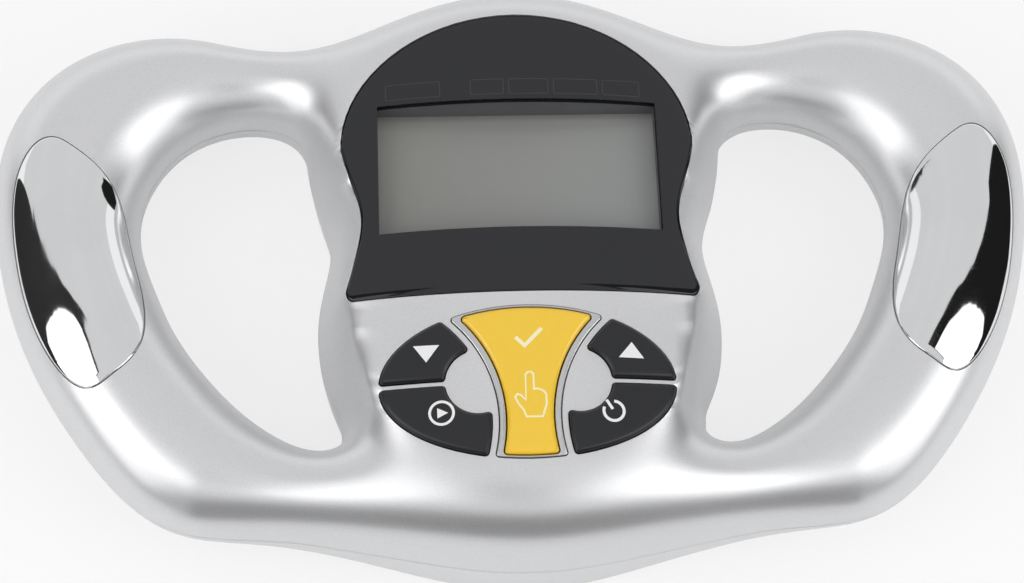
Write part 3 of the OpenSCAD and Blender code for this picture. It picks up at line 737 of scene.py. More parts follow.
def silver_paint(body):
    """Silver paint: fine flakes under a satin clear coat, with faint clouding."""
    def build():
        f = Finish("silver_paint", metallic=0.8, coat_weight=0.35, coat_roughness=0.22)
        flakes = f.place.noise(5200.0, 2.0)
        clouds = f.place.noise(16.0, 2.0)
        paint = body.paint_colour
        tone = flakes.faded(0.3, 0.72).blended(colour4(paint, 0.93), colour4(paint, 1.05))
        tone = (clouds.faded(0.35, 0.7) * 0.3).blended(tone, colour4(paint, 0.94))
        rough = body.paint_roughness + (flakes - 0.5) * 0.08 + (clouds - 0.5) * 0.05
        peel = f.place.noise(750.0, 2.0) * 0.6 + flakes * 0.4
        return f.give(base_color=tone, roughness=rough, normal=peel.bump(0.1, 0.00003))
    return kept("silver_paint", build)


def chrome_plate(pads):
    """Chrome: a mirror with a faint long wave, hairlines and finger haze."""
    def build():
        f = Finish("chrome_plate", metallic=1.0)
        drawn_out = f.place.node("ShaderNodeMapping", None, {"Vector": f.place, "Scale": (0.12, 1.0, 1.0)})
        hairs = drawn_out.noise(2600.0, 3.0)
        haze = f.place.noise(60.0, 4.0).faded(0.45, 0.8)
        wave = f.place.noise(70.0, 1.0)
        rough = 0.035 + haze * 0.05 + hairs.faded(0.62, 0.75) * 0.03
        tone = haze.blended(colour4(pads.chrome_colour), colour4(pads.chrome_colour, 0.95))
        return f.give(base_color=tone, roughness=rough, normal=wave.bump(0.3, 0.0003))
    return kept("chrome_plate", build)


def window_mask(place, width, height, soft=0.00005):
    """1 inside the display's clear window and 0 outside it, at object positions."""
    x, y, _ = place.split()
    across_x = (width * MM / 2 - abs(x - WINDOW[0] * MM)).faded(-soft, soft)
    across_y = (height * MM / 2 - abs(y - WINDOW[1] * MM)).faded(-soft, soft)
    return across_x * across_y


def dark_lens(display):
    """Dark print under clear plastic, left clear over the display glass."""
    def build():
        f = Finish("dark_lens")
        clear = window_mask(f.place, *WINDOW_SIZE)
        specks = f.place.noise(3000.0, 2.0)
        tone = specks.blended(colour4(display.lens_colour, 0.92), colour4(display.lens_colour, 1.08))
        wave = f.place.noise(45.0, 1.0)
        gloss, cover = 0.03 + specks * 0.03, 1 - clear * 0.93
        return f.give(base_color=tone, roughness=gloss, alpha=cover, normal=wave.bump(0.08, 0.0002))
    return kept("dark_lens", build)


def display_glass(display):
    """Grey-green display behind glass with a faint dot structure, and painted light: darker and warmer at its
    left, paler and cooler at its right, paler towards its top, with a painted shadow of the frame along its
    top edge.
    """
    def build():
        f = Finish("display_glass", coat_weight=0.6, coat_roughness=0.05)
        x, y, _ = f.place.split()
        # Painted light: the display is darker and warmer at its left and paler and cooler at its right
        painted_light_right = x.faded(-0.03, 0.03)
        tone = painted_light_right.blended(colour4(display.glass_colour), colour4(display.glass_lit_colour))
        # Painted light: the glass turns paler towards its top
        high = (y - (WINDOW[1] - WINDOW_SIZE[1] / 2) * MM).faded(0, WINDOW_SIZE[1] * MM)
        tone = (high * 0.3).blended(tone, colour4(display.glass_colour, 1.12))
        # Painted shadow of the frame, which darkens the glass along its top edge
        shaded = (y - (WINDOW[1] + WINDOW_SIZE[1] / 2) * MM).faded(-1.8 * MM, 0)
        tone = (shaded * 0.6).blended(tone, colour4(display.glass_colour, 0.5))
        dots = f.place.noise(4000.0, 1.0)
        tone = (dots.faded(0.4, 0.7) * 0.05).blended(tone, colour4(display.glass_colour, 0.7))
        return f.give(base_color=tone, roughness=0.3 + dots * 0.05)
    return kept("display_glass", build)


def dark_key_finish(keys):
    """Near-black moulded keys: a fine satin texture with a slight sheen."""
    def build():
        f = Finish("dark_key", coat_weight=0.1, coat_roughness=0.2, specular_ior_level=0.4)
        texture = f.place.noise(2600.0, 3.0)
        patches = f.place.noise(90.0, 2.0)
        tone = patches.blended(colour4(keys.dark_colour, 0.85), colour4(keys.dark_colour, 1.15))
        return f.give(base_color=tone, roughness=0.3 + texture * 0.1, normal=texture.bump(0.15, 0.00002))
    return kept("dark_key", build)


def yellow_key_finish(keys):
    """Glossy yellow plastic, with painted shade that deepens it to orange down its sides."""
    def build():
        f = Finish("yellow_key", coat_weight=0.5, coat_roughness=0.08)
        f.give(subsurface_weight=0.15, subsurface_scale=0.001)
        x, _, z = f.place.split()
        # Painted shade: the sides below the key's top turn a darker orange
        below = (CROWN_Z + KEY_PROUD) * MM - z - x * x * (0.5 / (DOME_R * MM))
        clouds = f.place.noise(70.0, 2.0)
        tone = clouds.blended(colour4(keys.yellow_colour, 0.96), colour4(keys.yellow_colour, 1.02))
        tone = below.faded(0.0003, 0.0016).blended(tone, colour4(keys.yellow_shade_colour))
        wave = f.place.noise(300.0, 2.0)
        return f.give(base_color=tone, roughness=0.24 + clouds * 0.06, normal=wave.bump(0.12, 0.00004))
    return kept("yellow_key", build)


def printed_mark(name, colour, roughness=0.45):
    """Ink with a slightly uneven tone."""
    return plain_finish(name, colour, roughness, grain=2200.0, relief=0.000005, shift=0.05)


def cell_wrap():
    """A plain cell wrap: dark with a paler end, bare steel at both ends."""
    def build():
        f = Finish("cell_wrap", coat_weight=0.6, coat_roughness=0.1)
        x, y, _ = f.place.split()
        side = y - BAY_Y * MM
        along = x * side.math("SIGN", side)
        wrapped = (along < 0.0218) * (along > -0.018)
        pale = along > 0.01
        tone = pale.blended(colour4((0.05, 0.07, 0.09)), colour4((0.45, 0.25, 0.1)))
        tone = wrapped.blended(colour4((0.7, 0.7, 0.7)), tone)
        grain = f.place.noise(900.0, 2.0)
        gloss, metal = 0.25 + grain * 0.08, 1 - wrapped * 0.8
        return f.give(base_color=tone, metallic=metal, roughness=gloss, normal=grain.bump(0.1, 0.00002))
    return kept("cell_wrap", build)


def board_finish():
    """Green solder mask over faint tracks."""
    def build():
        f = Finish("board", coat_weight=0.4, coat_roughness=0.2)
        inputs = {"Vector": f.place, "Scale": 260.0}
        tracks = f.place.node("ShaderNodeTexVoronoi", {"feature": "DISTANCE_TO_EDGE"}, inputs)
        lines = 1 - tracks.faded(0.02, 0.06)
        tone = lines.blended(colour4((0.01, 0.11, 0.035)), colour4((0.02, 0.2, 0.06)))
        return f.give(base_color=tone, roughness=0.35 + lines * 0.1, normal=lines.bump(0.3, 0.00004))
    return kept("board", build)


# Geometry Nodes
class Tree:
    """A Geometry Nodes tree whose named inputs are lengths in metres."""

    def __init__(self, name, **lengths):
        self.tree = bpy.data.node_groups.new(name, "GeometryNodeTree")
        face = self.tree.interface
        face.new_socket("Geometry", in_out="INPUT", socket_type="NodeSocketGeometry")
        face.new_socket("Geometry", in_out="OUTPUT", socket_type="NodeSocketGeometry")
        self.keys = {}
        for key, value in lengths.items():
            title = key.replace("_", " ").capitalize()
            socket = face.new_socket(title, in_out="INPUT", socket_type="NodeSocketFloat")
            socket.subtype = "DISTANCE"
            socket.default_value = value
            self.keys[key] = socket.identifier
        self.start = self.tree.nodes.new("NodeGroupInput")
        self.end = self.tree.nodes.new("NodeGroupOutput")

    def length(self, key):
        """The output of a named input."""
        return next(s for s in self.start.outputs if s.identifier == self.keys[key])

    def add(self, kind, settings=None, inputs=None, out=0):
        """Adds a node, sets it up, fills or links its inputs, and returns one output."""
        made = self.tree.nodes.new(kind)
        for key, value in (settings or {}).items():
            setattr(made, key, value)
        for key, value in (inputs or {}).items():
            for part in value if isinstance(value, list) else [value]:
                if isinstance(part, bpy.types.NodeSocket):
                    self.tree.links.new(part, made.inputs[key])
                else:
                    made.inputs[key].default_value = part
        return made.outputs[out]

    def times(self, first, second):
        """The product of two values."""
        return self.add("ShaderNodeMath", {"operation": "MULTIPLY"}, {0: first, 1: second})

    def vector(self, x=0.0, y=0.0, z=0.0):
        """A vector from values or links."""
        return self.add("ShaderNodeCombineXYZ", None, {"X": x, "Y": y, "Z": z})

    def raised(self, geometry, height):
        """Geometry moved up by a height."""
        inputs = {"Geometry": geometry, "Translation": self.vector(z=height)}
        return self.add("GeometryNodeTransform", None, inputs)

    def on_points(self, geometry, material, **inputs):
        """Ends the tree with that geometry on every point, real and in its material."""
        inputs = {"Points": self.start.outputs[0], "Instance": geometry, **inputs}
        placed = self.add("GeometryNodeInstanceOnPoints", None, inputs)
        self.finish(placed, material)
        return self

    def finish(self, geometry, material):
        """Ends the tree: instances made real, in their material."""
        real = self.add("GeometryNodeRealizeInstances", None, {0: geometry})
        painted = self.add("GeometryNodeSetMaterial", None, {"Geometry": real, "Material": material})
        self.tree.links.new(painted, self.end.inputs[0])

    def grow(self, name, points, **lengths):
        """An object at the origin with the tree's mesh over those points, in millimetres."""
        obj = place(name, make_mesh(name, points, []))
        step = obj.modifiers.new("tree", "NODES")
        step.node_group = self.tree
        for key, value in lengths.items():
            step[self.keys[key]] = value * MM
        done = settled(obj)
        if not done.polygons:
            raise RuntimeError(f"{name} grew no faces")
        obj.data = done
        done.set_sharp_from_angle(angle=math.radians(35))
        return obj


def screw_tree(material):
    """Pan-head screws with a cross recess, head down, one on each point, which is where their heads seat."""
    t = Tree("screws", head_width=4.2 * MM, head_height=1.9 * MM,
             shank_width=2.2 * MM, shank_length=7 * MM)
    head_w, head_h, shank_l = t.length("head_width"), t.length("head_height"), t.length("shank_length")
    inputs = {"Segments": 40, "Rings": 24, "Radius": t.times(head_w, 0.5)}
    ball = t.add("GeometryNodeMeshUVSphere", None, inputs)
    tall = t.add("GeometryNodeTransform", None, {"Geometry": ball, "Scale": (1.0, 1.0, 0.9)})
    block = t.add("GeometryNodeMeshCube", None, {"Size": t.vector(head_w, head_w, head_h)})
    inputs = {"Mesh 2": [tall, t.raised(block, t.times(head_h, -0.5))]}
    head = t.add("GeometryNodeMeshBoolean", {"operation": "INTERSECT", "solver": "EXACT"}, inputs)
    slots = []
    for a, b in ((0.62, 0.15), (0.15, 0.62)):
        size = t.vector(t.times(head_w, a), t.times(head_w, b), t.times(head_h, 1.2))
        bar = t.add("GeometryNodeMeshCube", None, {"Size": size})
        slots.append(t.raised(bar, t.times(head_h, -1.15)))
    inputs = {"Mesh 1": head, "Mesh 2": slots}
    head = t.add("GeometryNodeMeshBoolean", {"operation": "DIFFERENCE", "solver": "EXACT"}, inputs)
    inputs = {"Vertices": 24, "Radius": t.times(t.length("shank_width"), 0.5), "Depth": shank_l}
    shank = t.add("GeometryNodeMeshCylinder", None, inputs)
    parts = [head, t.raised(shank, t.times(shank_l, 0.495))]
    return t.on_points(t.add("GeometryNodeJoinGeometry", None, {0: parts}), material)


def spring_tree(material):
    """Coil springs on square plates, one on each point, along X and thinner away from their plates."""
    t = Tree("springs", wire_width=0.5 * MM, base_width=7.0 * MM, tip_width=4.4 * MM, length=5.0 * MM,
             plate_width=9.0 * MM, plate_thickness=PLATE_T * MM)
    inputs = {"Resolution": 28, "Rotations": 5.0, "Height": t.length("length")}
    for socket, key in (("Start Radius", "base_width"), ("End Radius", "tip_width")):
        inputs[socket] = t.times(t.length(key), 0.5)
    coil = t.add("GeometryNodeCurveSpiral", None, inputs)
    inputs = {"Resolution": 10, "Radius": t.times(t.length("wire_width"), 0.5)}
    ring = t.add("GeometryNodeCurvePrimitiveCircle", None, inputs)
    inputs = {"Curve": coil, "Profile Curve": ring, "Fill Caps": True}
    wire = t.add("GeometryNodeCurveToMesh", None, inputs)
    smooth = t.add("GeometryNodeSetShadeSmooth", None, {"Geometry": wire})
    plate_w, plate_t = t.length("plate_width"), t.length("plate_thickness")
    flat = t.add("GeometryNodeMeshCube", None, {"Size": t.vector(plate_w, plate_w, plate_t)})
    parts = [t.raised(flat, t.times(plate_t, -0.5)), smooth]
    way = t.add("ShaderNodeSeparateXYZ", None, {0: t.add("GeometryNodeInputPosition")})
    flip = t.add("ShaderNodeMath", {"operation": "SIGN"}, {0: way})
    turn = t.vector(y=t.times(flip, -math.pi / 2))
    return t.on_points(t.add("GeometryNodeJoinGeometry", None, {0: parts}), material, Rotation=turn)


# Pieces of the housing
def shell_grids(front, groove):
    """Grids of one shell's outer and inner skins, right half and left half, closed at the seam."""
    grids = []
    for kind, last in ((0, LAST_RIB), (1, LAST_RIB), (2, LAST_SIDE)):
        u = np.linspace(0, last, last * SKIN_STEPS + 1)
        angles = even_angles(kind, u, front, SKIN_ROWS)
        d = np.zeros(angles.shape)
        d[:, 0], d[:, 1] = -groove, -groove / 2
        wide = np.repeat(u[:, None], angles.shape[1], 1)
        outer = skin_points(kind, wide, front, d, angles)
        pick = np.append(np.arange(0, angles.shape[1] - 1, 3), angles.shape[1] - 1)
        inner = skin_points(kind, wide[:, pick], front, -WALL, angles[:, pick])
        half = np.concatenate([outer[:, ::-1], inner], 1)
        grids += [half, half * [-1, 1, 1]]
    return grids


def ramp(value, start, run):
    """0 before start and 1 from a run past it."""
    return np.clip((value - start) / run, 0, 1)


def iron(mesh, rounds, seats):
    """Irons creases out of the skins over the pod, away from the seam and from points of what is seated."""
    count = len(mesh.vertices)
    co = np.empty(count * 3)
    mesh.vertices.foreach_get("co", co)
    co = co.reshape(-1, 3) / MM
    edges = np.empty(len(mesh.edges) * 2, int)
    mesh.edges.foreach_get("vertices", edges)
    a, b = edges.reshape(-1, 2).T
    degree = np.bincount(np.concatenate([a, b]), minlength=count)
    near = KDTree(len(seats))
    for k, point in enumerate(seats):
        near.insert(point, k)
    near.balance()
    gap = np.array([near.find(point)[2] for point in co])
    share = ramp(np.abs(co[:, 2] - PARTING_Z), *IRON_SEAM) * ramp(gap, *IRON_SEAT)
    share *= ramp(-np.abs(co[:, 0]), *IRON_HANDLE) * ramp(co[:, 2], *IRON_BACK)
    for axis in [0, 1, 2] * rounds:
        line = co[:, axis]
        total = np.bincount(a, line[b], count) + np.bincount(b, line[a], count)
        line += 0.5 * share * (total / degree - line)
    mesh.vertices.foreach_set("co", (co * MM).ravel())
    mesh.update()


def pad_points(radius, turn, front, d, grow):
    """Skin points of an electrode plate in rings: 0 at its middle, 1 at its edge."""
    c, s = np.cos(turn), np.sin(turn)
    c, s = np.sign(c) * np.abs(c)**(2 / PAD_POWER), np.sign(s) * np.abs(s)**(2 / PAD_POWER)
    u = PAD_MID + c * (radius * PAD_HALF + grow * RIBS_PER_MM)
    span = np.where(s < 0, PAD_OUTER_SPAN, PAD_INNER_SPAN)
    tilt = s * (radius * span + grow * DEGREES_PER_MM) - PAD_SKEW * c * radius
    outer = skin_points(0, u, front, d, 90 - np.abs(tilt))
    inner = skin_points(1, u, front, d, 90 - np.abs(tilt))
    return np.where((tilt < 0)[..., None], outer, inner)


def pad_mesh(name, front, low, high, grow=0.0, edge_r=0.0, rings=22, turns=144):
    """The right electrode plate, closed, between two depths of the skin and with a rounded rim."""
    t = np.linspace(0, 2 * math.pi, turns + 1)
    rows = [(r, high, -edge_r + grow) for r in np.linspace(0, 1, rings)]
    for a in np.radians([65, 40, 15, 0]) if edge_r else ():
        rows.append((1.0, high - edge_r * (1 - math.sin(a)), grow - edge_r * (1 - math.cos(a))))
    rows.append((1.0, low, grow))
    rows += [(r, low, grow) for r in np.linspace(1, 0, rings)[1:]]

    def ring(radius, depth, grown_by):
        reach, depths = np.full(len(t), radius), np.full(len(t), depth)
        return pad_points(reach, t, front, depths, grown_by * min(1.0, radius * 3))

    grid = np.array([ring(*row) for row in rows])
    grid[:, -1] = grid[:, 0]
    return joined(name, [grid])


def flipped(mesh):
    """A mesh moved to the left half of the object."""
    mesh.transform(Matrix.Scale(-1, 4, (1, 0, 0)))
    return mesh


def pockets(front):
    """Cutters for the two pockets that the electrode plates of one shell lie in."""
    depths = PAD_PROUD - PAD_T - SEAT_GAP, PAD_PROUD + 2
    right, left = (pad_mesh("pocket", front, *depths, PAD_GAP) for _ in range(2))
    return [outwards(right), outwards(flipped(left))]


def lens_loop():
    """The lens's outline in even steps."""
    return stepped(rims("display_lens")[0], 0.8)


def key_loop(node, step=0.45):
    """The outline of a key or of the band in even steps."""
    return stepped(rims(node)[0], step)


def screw_places():
    """Plan places of the eight screws that join the shells, the pod's four first."""
    right = [(17, 48), (14, -50.5), tuple(RIBS[6][2:4]), tuple(RIBS[18][2:4])]
    return [(side * x, y) for x, y in right for side in (1, -1)]


def follow(rise):
    """A height function that follows the curved front at a distance above it."""
    return lambda x, y: dome_z(x) + rise


def turned_bar(name, profile, y, z, flip, n=48):
    """A closed body turned about a line along X, from a profile of places along it and radii."""
    turn = np.linspace(0, 2 * math.pi, n, endpoint=False)
    points = [[flip * x, y + r * math.cos(a), z + r * math.sin(a)] for x, r in profile for a in turn]
    faces = []
    for i in range(len(profile) - 1):
        for k in range(n):
            a, b = i * n, (i + 1) * n
            faces.append([a + k, a + (k + 1) % n, b + (k + 1) % n, b + k])
    faces += [list(range(n))[::-1], [(len(profile) - 1) * n + k for k in range(n)]]
    return make_mesh(name, points, faces)


def cell_profile(length, r):
    """A cell's outline from its flat foot to its stud."""
    return [
        (0, r - 0.9), (0.05, r - 0.5), (0.35, r - 0.1), (0.7, r), (length - 1.6, r),
        (length - 1.2, r - 0.15), (length - 0.85, r - 0.7), (length - 0.8, 2.2),
        (length - 0.75, 1.9), (length - 0.15, 1.85), (length, 1.6)]


def outwards(mesh):
    """Turns every face of a closed mesh outwards."""
    b = bmesh.new()
    b.from_mesh(mesh)
    bmesh.ops.remove_doubles(b, verts=b.verts, dist=1e-7)
    bmesh.ops.recalc_face_normals(b, faces=b.faces)
    b.to_mesh(mesh)
    b.free()
    return mesh


def softened(name, node, width, segments=2):
    """A copy of a CAD node with its doubles merged and its sharp edges rounded."""
    b = bmesh.new()
    b.from_mesh(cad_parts[node].data)
    bmesh.ops.remove_doubles(b, verts=b.verts, dist=2e-6)
    bmesh.ops.dissolve_limit(b, angle_limit=math.radians(1), verts=b.verts, edges=b.edges)
    mesh = bpy.data.meshes.new(name)
    b.to_mesh(mesh)
    b.free()
    obj = place(name, mesh)
    edge = obj.modifiers.new("edge", "BEVEL")
    edge.width = width * MM
    edge.segments = segments
    edge.limit_method = "ANGLE"
    edge.angle_limit = math.radians(40)
    done = settled(obj)
    obj.data = done
    done.shade_smooth()
    done.set_sharp_from_angle(angle=math.radians(35))
    return obj


# Keys and their marks
def stroke(path, width, closed=False):
    """Left and right edges of a line of some width along a plan path."""
    path = np.array(path, float)
    ahead = unit(np.roll(path, -1, 0) - path)
    behind = unit(path - np.roll(path, 1, 0))
    if not closed:
        ahead[-1], behind[0] = behind[-1], ahead[0]
    n1, n2 = turned(behind), turned(ahead)
    middle = unit(n1 + n2)
    offset = width / 2 * middle / np.maximum(0.6, (middle * n1).sum(1))[:, None]
    return path + offset, path - offset


def ink(name, strokes, fills, height, thick=0.03, deep=0.12):
    """Thin closed strips and patches of ink on the curved front, at a height above it."""
    points, faces = [], []

    def add(new_points, new_faces):
        base = sum(len(p) for p in points)
        points.append(np.asarray(new_points))
        faces.extend([[base + v for v in f] for f in new_faces])

    for path, width, closed in strokes:
        left, right = stroke(path, width, closed)
        n = len(left)
        top = [np.column_stack([p, dome_z(p[:, 0]) + height + thick]) for p in (left, right)]
        low = [np.column_stack([p, dome_z(p[:, 0]) + height - deep]) for p in (left, right)]
        corners = [top[0], top[1], low[1], low[0]]
        grid = []
        for k in range(n if closed else n - 1):
            m = (k + 1) % n
            for c in range(4):
                e = (c + 1) % 4
                grid.append([c * n + k, e * n + k, e * n + m, c * n + m])
        if not closed:
            grid += [[0, 3 * n, 2 * n, n], [n - 1, 2 * n - 1, 3 * n - 1, 4 * n - 1]]
        add(np.vstack(corners), grid)
    for loop in fills:
        outline = stepped(anticlockwise(np.array(loop, float)), 0.5)
        patch = plate("patch", outline, follow(height + thick), follow(height - deep))
        co = np.array([v.co[:] for v in patch.vertices]) / MM
        add(co, [list(p.vertices) for p in patch.polygons])
        bpy.data.meshes.remove(patch)
    return outwards(make_mesh(name, np.vstack(points), faces))


def arc(x, y, r, start, end, n=28):
    """Part of a circle between two angles in degrees."""
    a = np.radians(np.linspace(start, end, n))
    return np.column_stack([x + r * np.cos(a), y + r * np.sin(a)])


def turned_about(points, x, y, degrees):
    """Plan points turned by some degrees and moved to x, y."""
    a = math.radians(degrees)
    return (np.array(points, float) @ [[math.cos(a), math.sin(a)], [-math.sin(a), math.cos(a)]]) + [x, y]


# Places of the start and power marks, and how far the power mark is turned
START_MARK = (-16.4, -34.6)
POWER_MARK = (15.5, -34.9)
POWER_TURN = 31

# Outline of a pointing hand, and what fits it to the middle key
HAND = np.array([
    (-0.3, 4.4), (0.5, 4.4), (0.9, 3.9), (0.9, 0.9), (1.6, 1.0), (2.3, 0.8), (3.0, 0.5), (3.5, -0.2),
    (3.5, -2.2), (3.0, -3.4), (2.6, -4.6), (-0.9, -4.6), (-1.4, -3.4), (-2.7, -1.7), (-3.2, -0.6),
    (-2.7, 0.0), (-1.9, -0.3), (-0.9, -1.3), (-0.8, 3.9)])
HAND_SCALE = (0.86, 0.97)
HAND_PLACE = (0.0, -31.5)


def key_cap(node, edge, finish, slot):
    """The shown body of a key, for its solid."""
    name = node + "_cap"
    solid = plate(name, key_loop(node), follow(KEY_PROUD), follow(-KEY_LOW), edge, step=0.9, turns=6)
    dress(place(name, outwards(solid), sharp=50), finish, node, slot, node)


def key_mark(node, strokes, fills, finish, slot):
    """The mark that goes with a key."""
    name = node + "_mark"
    dress(place(name, ink(name, strokes, fills, KEY_PROUD)), finish, node, slot)


# Settings
def colour_setting(name, description, default):
    return FloatVectorProperty(
        name=name, description=description, default=default, subtype="COLOR", min=0, max=1)


def length_setting(name, description, default):
    return FloatProperty(
        name=name, description=description, default=default * MM, min=0, unit="LENGTH", precision=5)


class BodySettings(bpy.types.PropertyGroup):
    groove: length_setting("Seam groove", "Depth of the groove where the two shells meet", 0.22)
    paint_colour: colour_setting("Paint", "Colour of the silver paint", (0.74, 0.743, 0.755))
    paint_roughness: FloatProperty(
        name="Paint roughness", description="Softness of the highlights on the paint", default=0.36,
        min=0, max=1, subtype="FACTOR")


class DisplaySettings(bpy.types.PropertyGroup):
    lens_edge: length_setting("Lens edge", "Radius of the lens's rounded edge", 0.35)
    lens_colour: colour_setting("Lens", "Colour of the print behind the lens", (0.011, 0.0115, 0.014))
    # The display's left and right colours differ by painted light: darker and warmer at its left, paler and
    # cooler at its right
    glass_colour: colour_setting("Glass", "Colour of the display at its left", (0.31, 0.31, 0.29))
    glass_lit_colour: colour_setting(
        "Cool glass", "Colour of the display at its right", (0.37, 0.385, 0.38))
    label_colour: colour_setting(
        "Labels", "Colour of the label frames over the display", (0.035, 0.035, 0.038))


class KeySettings(bpy.types.PropertyGroup):
    edge: length_setting("Key edge", "Radius of the rounded upper edge of a key", 0.75)
    dark_colour: colour_setting("Dark keys", "Colour of the outer keys", (0.011, 0.0115, 0.0135))
    yellow_colour: colour_setting("Yellow key", "Colour of the middle key", (0.93, 0.6, 0.03))
    # Painted shade on the middle key's sides, a darker orange than its top
    yellow_shade_colour: colour_setting(
        "Yellow key's side", "Colour of the middle key's sides", (0.6, 0.27, 0.01))
    mark_colour: colour_setting("Marks", "Colour of the marks on the dark keys", (0.85, 0.85, 0.85))
    pale_mark_colour: colour_setting(
        "Pale marks", "Colour of the marks on the middle key", (0.95, 0.88, 0.55))


class PadSettings(bpy.types.PropertyGroup):
    edge: length_setting("Plate edge", "Radius of an electrode plate's rounded rim", 0.35)
    chrome_colour: colour_setting("Chrome", "Colour of the electrode plates", (0.83, 0.835, 0.845))


class StudioSettings(bpy.types.PropertyGroup):
    sky: FloatProperty(name="Sky", description="Strength of the light from all round", default=0.7)
    box_power: FloatProperty(
        name="Soft box", description="Power of the soft box on each side", default=1.2, unit="POWER")
    floor_colour: colour_setting("Floor", "Colour of the floor", (0.88, 0.88, 0.88))


class AnalyzerSettings(bpy.types.PropertyGroup):
    body: PointerProperty(type=BodySettings)
    display: PointerProperty(type=DisplaySettings)
    keys: PointerProperty(type=KeySettings)
    pads: PointerProperty(type=PadSettings)
    studio: PointerProperty(type=StudioSettings)


# Operators
class FrontHousing(bpy.types.Operator):
    """Front half of the body, with openings for the lens, the keys and the electrode plates"""
    bl_idname = "analyzer.front_housing"
    bl_label = "Front housing"

    def execute(self, context):
        s = context.scene.analyzer
        mesh = joined("front_housing", shell_grids(True, s.body.groove / MM))
        lens = lens_loop()
        keys = np.vstack([key_loop(key, 1.0) for key in (*DARK_KEYS, "set_key_bezel")])
        low = np.vstack([lens[lens[:, 1] < LENS_FOOT_Y], keys])
        edge = np.vstack([lens, keys, stepped(low[convex_hull_2d([tuple(p) for p in low])], 1.0)])
        iron(mesh, FRONT_ROUNDS, np.column_stack([edge, dome_z(edge[:, 0])]))
        obj = place("front_housing", mesh, SHELL_SHARP)
        openings = [(lens, LENS_GAP), *((key_loop(key), KEY_GAP) for key in DARK_KEYS)]
        openings.append((key_loop("set_key_bezel"), BAND_GAP))
        cuts = [prism(grown(loop, gap), *THROUGH_FRONT) for loop, gap in openings]
        carve(obj, cuts + pockets(True), SHELL_SHARP)
        dress(obj, silver_paint(s.body), HOUSING, "silver_paint", "front_shell")
        return {"FINISHED"}


class RearHousing(bpy.types.Operator):
    """Rear half of the body, with the battery bay, the screw wells and the rear electrodes' pockets"""
    bl_idname = "analyzer.rear_housing"
    bl_label = "Rear housing"

    def execute(self, context):
        s = context.scene.analyzer
        mesh = joined("rear_housing", shell_grids(False, s.body.groove / MM))
        recess_w, recess_h = DOOR_W + 2 * DOOR_GAP, DOOR_H + 2 * DOOR_GAP
        recess = rounded(0, BAY_Y, recess_w, recess_h, DOOR_R)
        edge = stepped(recess, 1.0)
        iron(mesh, REAR_ROUNDS, np.column_stack([edge, np.zeros(len(edge))]))
        obj = place("rear_housing", mesh, SHELL_SHARP)
        notch = [(-NOTCH_HALF, NOTCH_R), (NOTCH_HALF, NOTCH_R)]
        notch_y = BAY_Y - DOOR_H / 2 - DOOR_GAP
        cuts = [prism(recess, *THROUGH_REAR), outwards(turned_bar("notch", notch, notch_y, NOTCH_Z, 1))]
        screws = screw_places()
        cuts += [prism(circle(x, y, WELL_CUT_R), *WELL_CUT) for x, y in screws]
        carve(obj, cuts + pockets(False), SHELL_SHARP)
        dress(obj, silver_paint(s.body), HOUSING, "silver_paint", "rear_shell")

        plastic = plain_finish("bay_plastic", (0.3, 0.305, 0.31), 0.5)
        outer = rounded(0, BAY_Y, recess_w - 2 * SEAT_GAP, recess_h - 2 * SEAT_GAP, DOOR_R)
        bay = place("battery_bay", prism(outer, RECESS_Z, RECESS_Z + BAY_WALL))
        walls = rounded(0, BAY_Y, BAY_W + 2 * BAY_WALL, BAY_H + 2 * BAY_WALL, BAY_OUTER_R)
        walls = prism(walls, RECESS_Z + BAY_OVERLAP, BAY_TOP + BAY_WALL)
        carve(bay, [walls], operation="UNION")
        carve(bay, [prism(rounded(0, BAY_Y, BAY_W, BAY_H, BAY_R), 0, BAY_TOP)])
        dress(bay, plastic, HOUSING, "silver_paint")

        for name, foot, places in (
                ("pod_screw_wells", POD_WELL_FOOT, screws[:4]),
                ("handle_screw_wells", HANDLE_WELL_FOOT, screws[4:])):
            profile = [
                (WELL_R, foot), (WELL_OUTER_R, foot), (WELL_OUTER_R, POST_TOP),
                (WELL_HOLE_R, POST_TOP), (WELL_HOLE_R, SEAT_Z), (WELL_R, SEAT_Z)]
            well = place(name, outwards(revolved(name, profile, places)))
            dress(well, plastic, HOUSING, "silver_paint")
        return {"FINISHED"}


class DisplayWindow(bpy.types.Operator):
    """The dark lens with its clear window, the empty label frames, and the display behind it"""
    bl_idname = "analyzer.display"
    bl_label = "Display"

    def execute(self, context):
        s = context.scene.analyzer.display
        edge = s.lens_edge / MM
        top, low = follow(-LENS_RECESS), follow(-LENS_RECESS - LENS_T)
        lens = place("lens", outwards(plate("lens", lens_loop(), top, low, edge, step=1.6)))
        dress(lens, dark_lens(s), HOUSING, "dark_lens", "display_lens")
        frames = []
        for left, right in LABELS:
            box = rounded((left + right) / 2, LABEL_Y, right - left, LABEL_H, LABEL_R, 3)
            frames.append((stepped(box, 1.0), LABEL_LINE, True))
        labels = place("label_frames", ink("label_frames", frames, [], -LENS_RECESS, LABEL_INK))
        dress(labels, printed_mark("label_ink", s.label_colour), HOUSING, "dark_lens")
        show_node("lcd_glass", display_glass(s))
        show_node("lcd_frame", plain_finish("black_plastic", (0.115, 0.116, 0.122), 0.6))
        return {"FINISHED"}


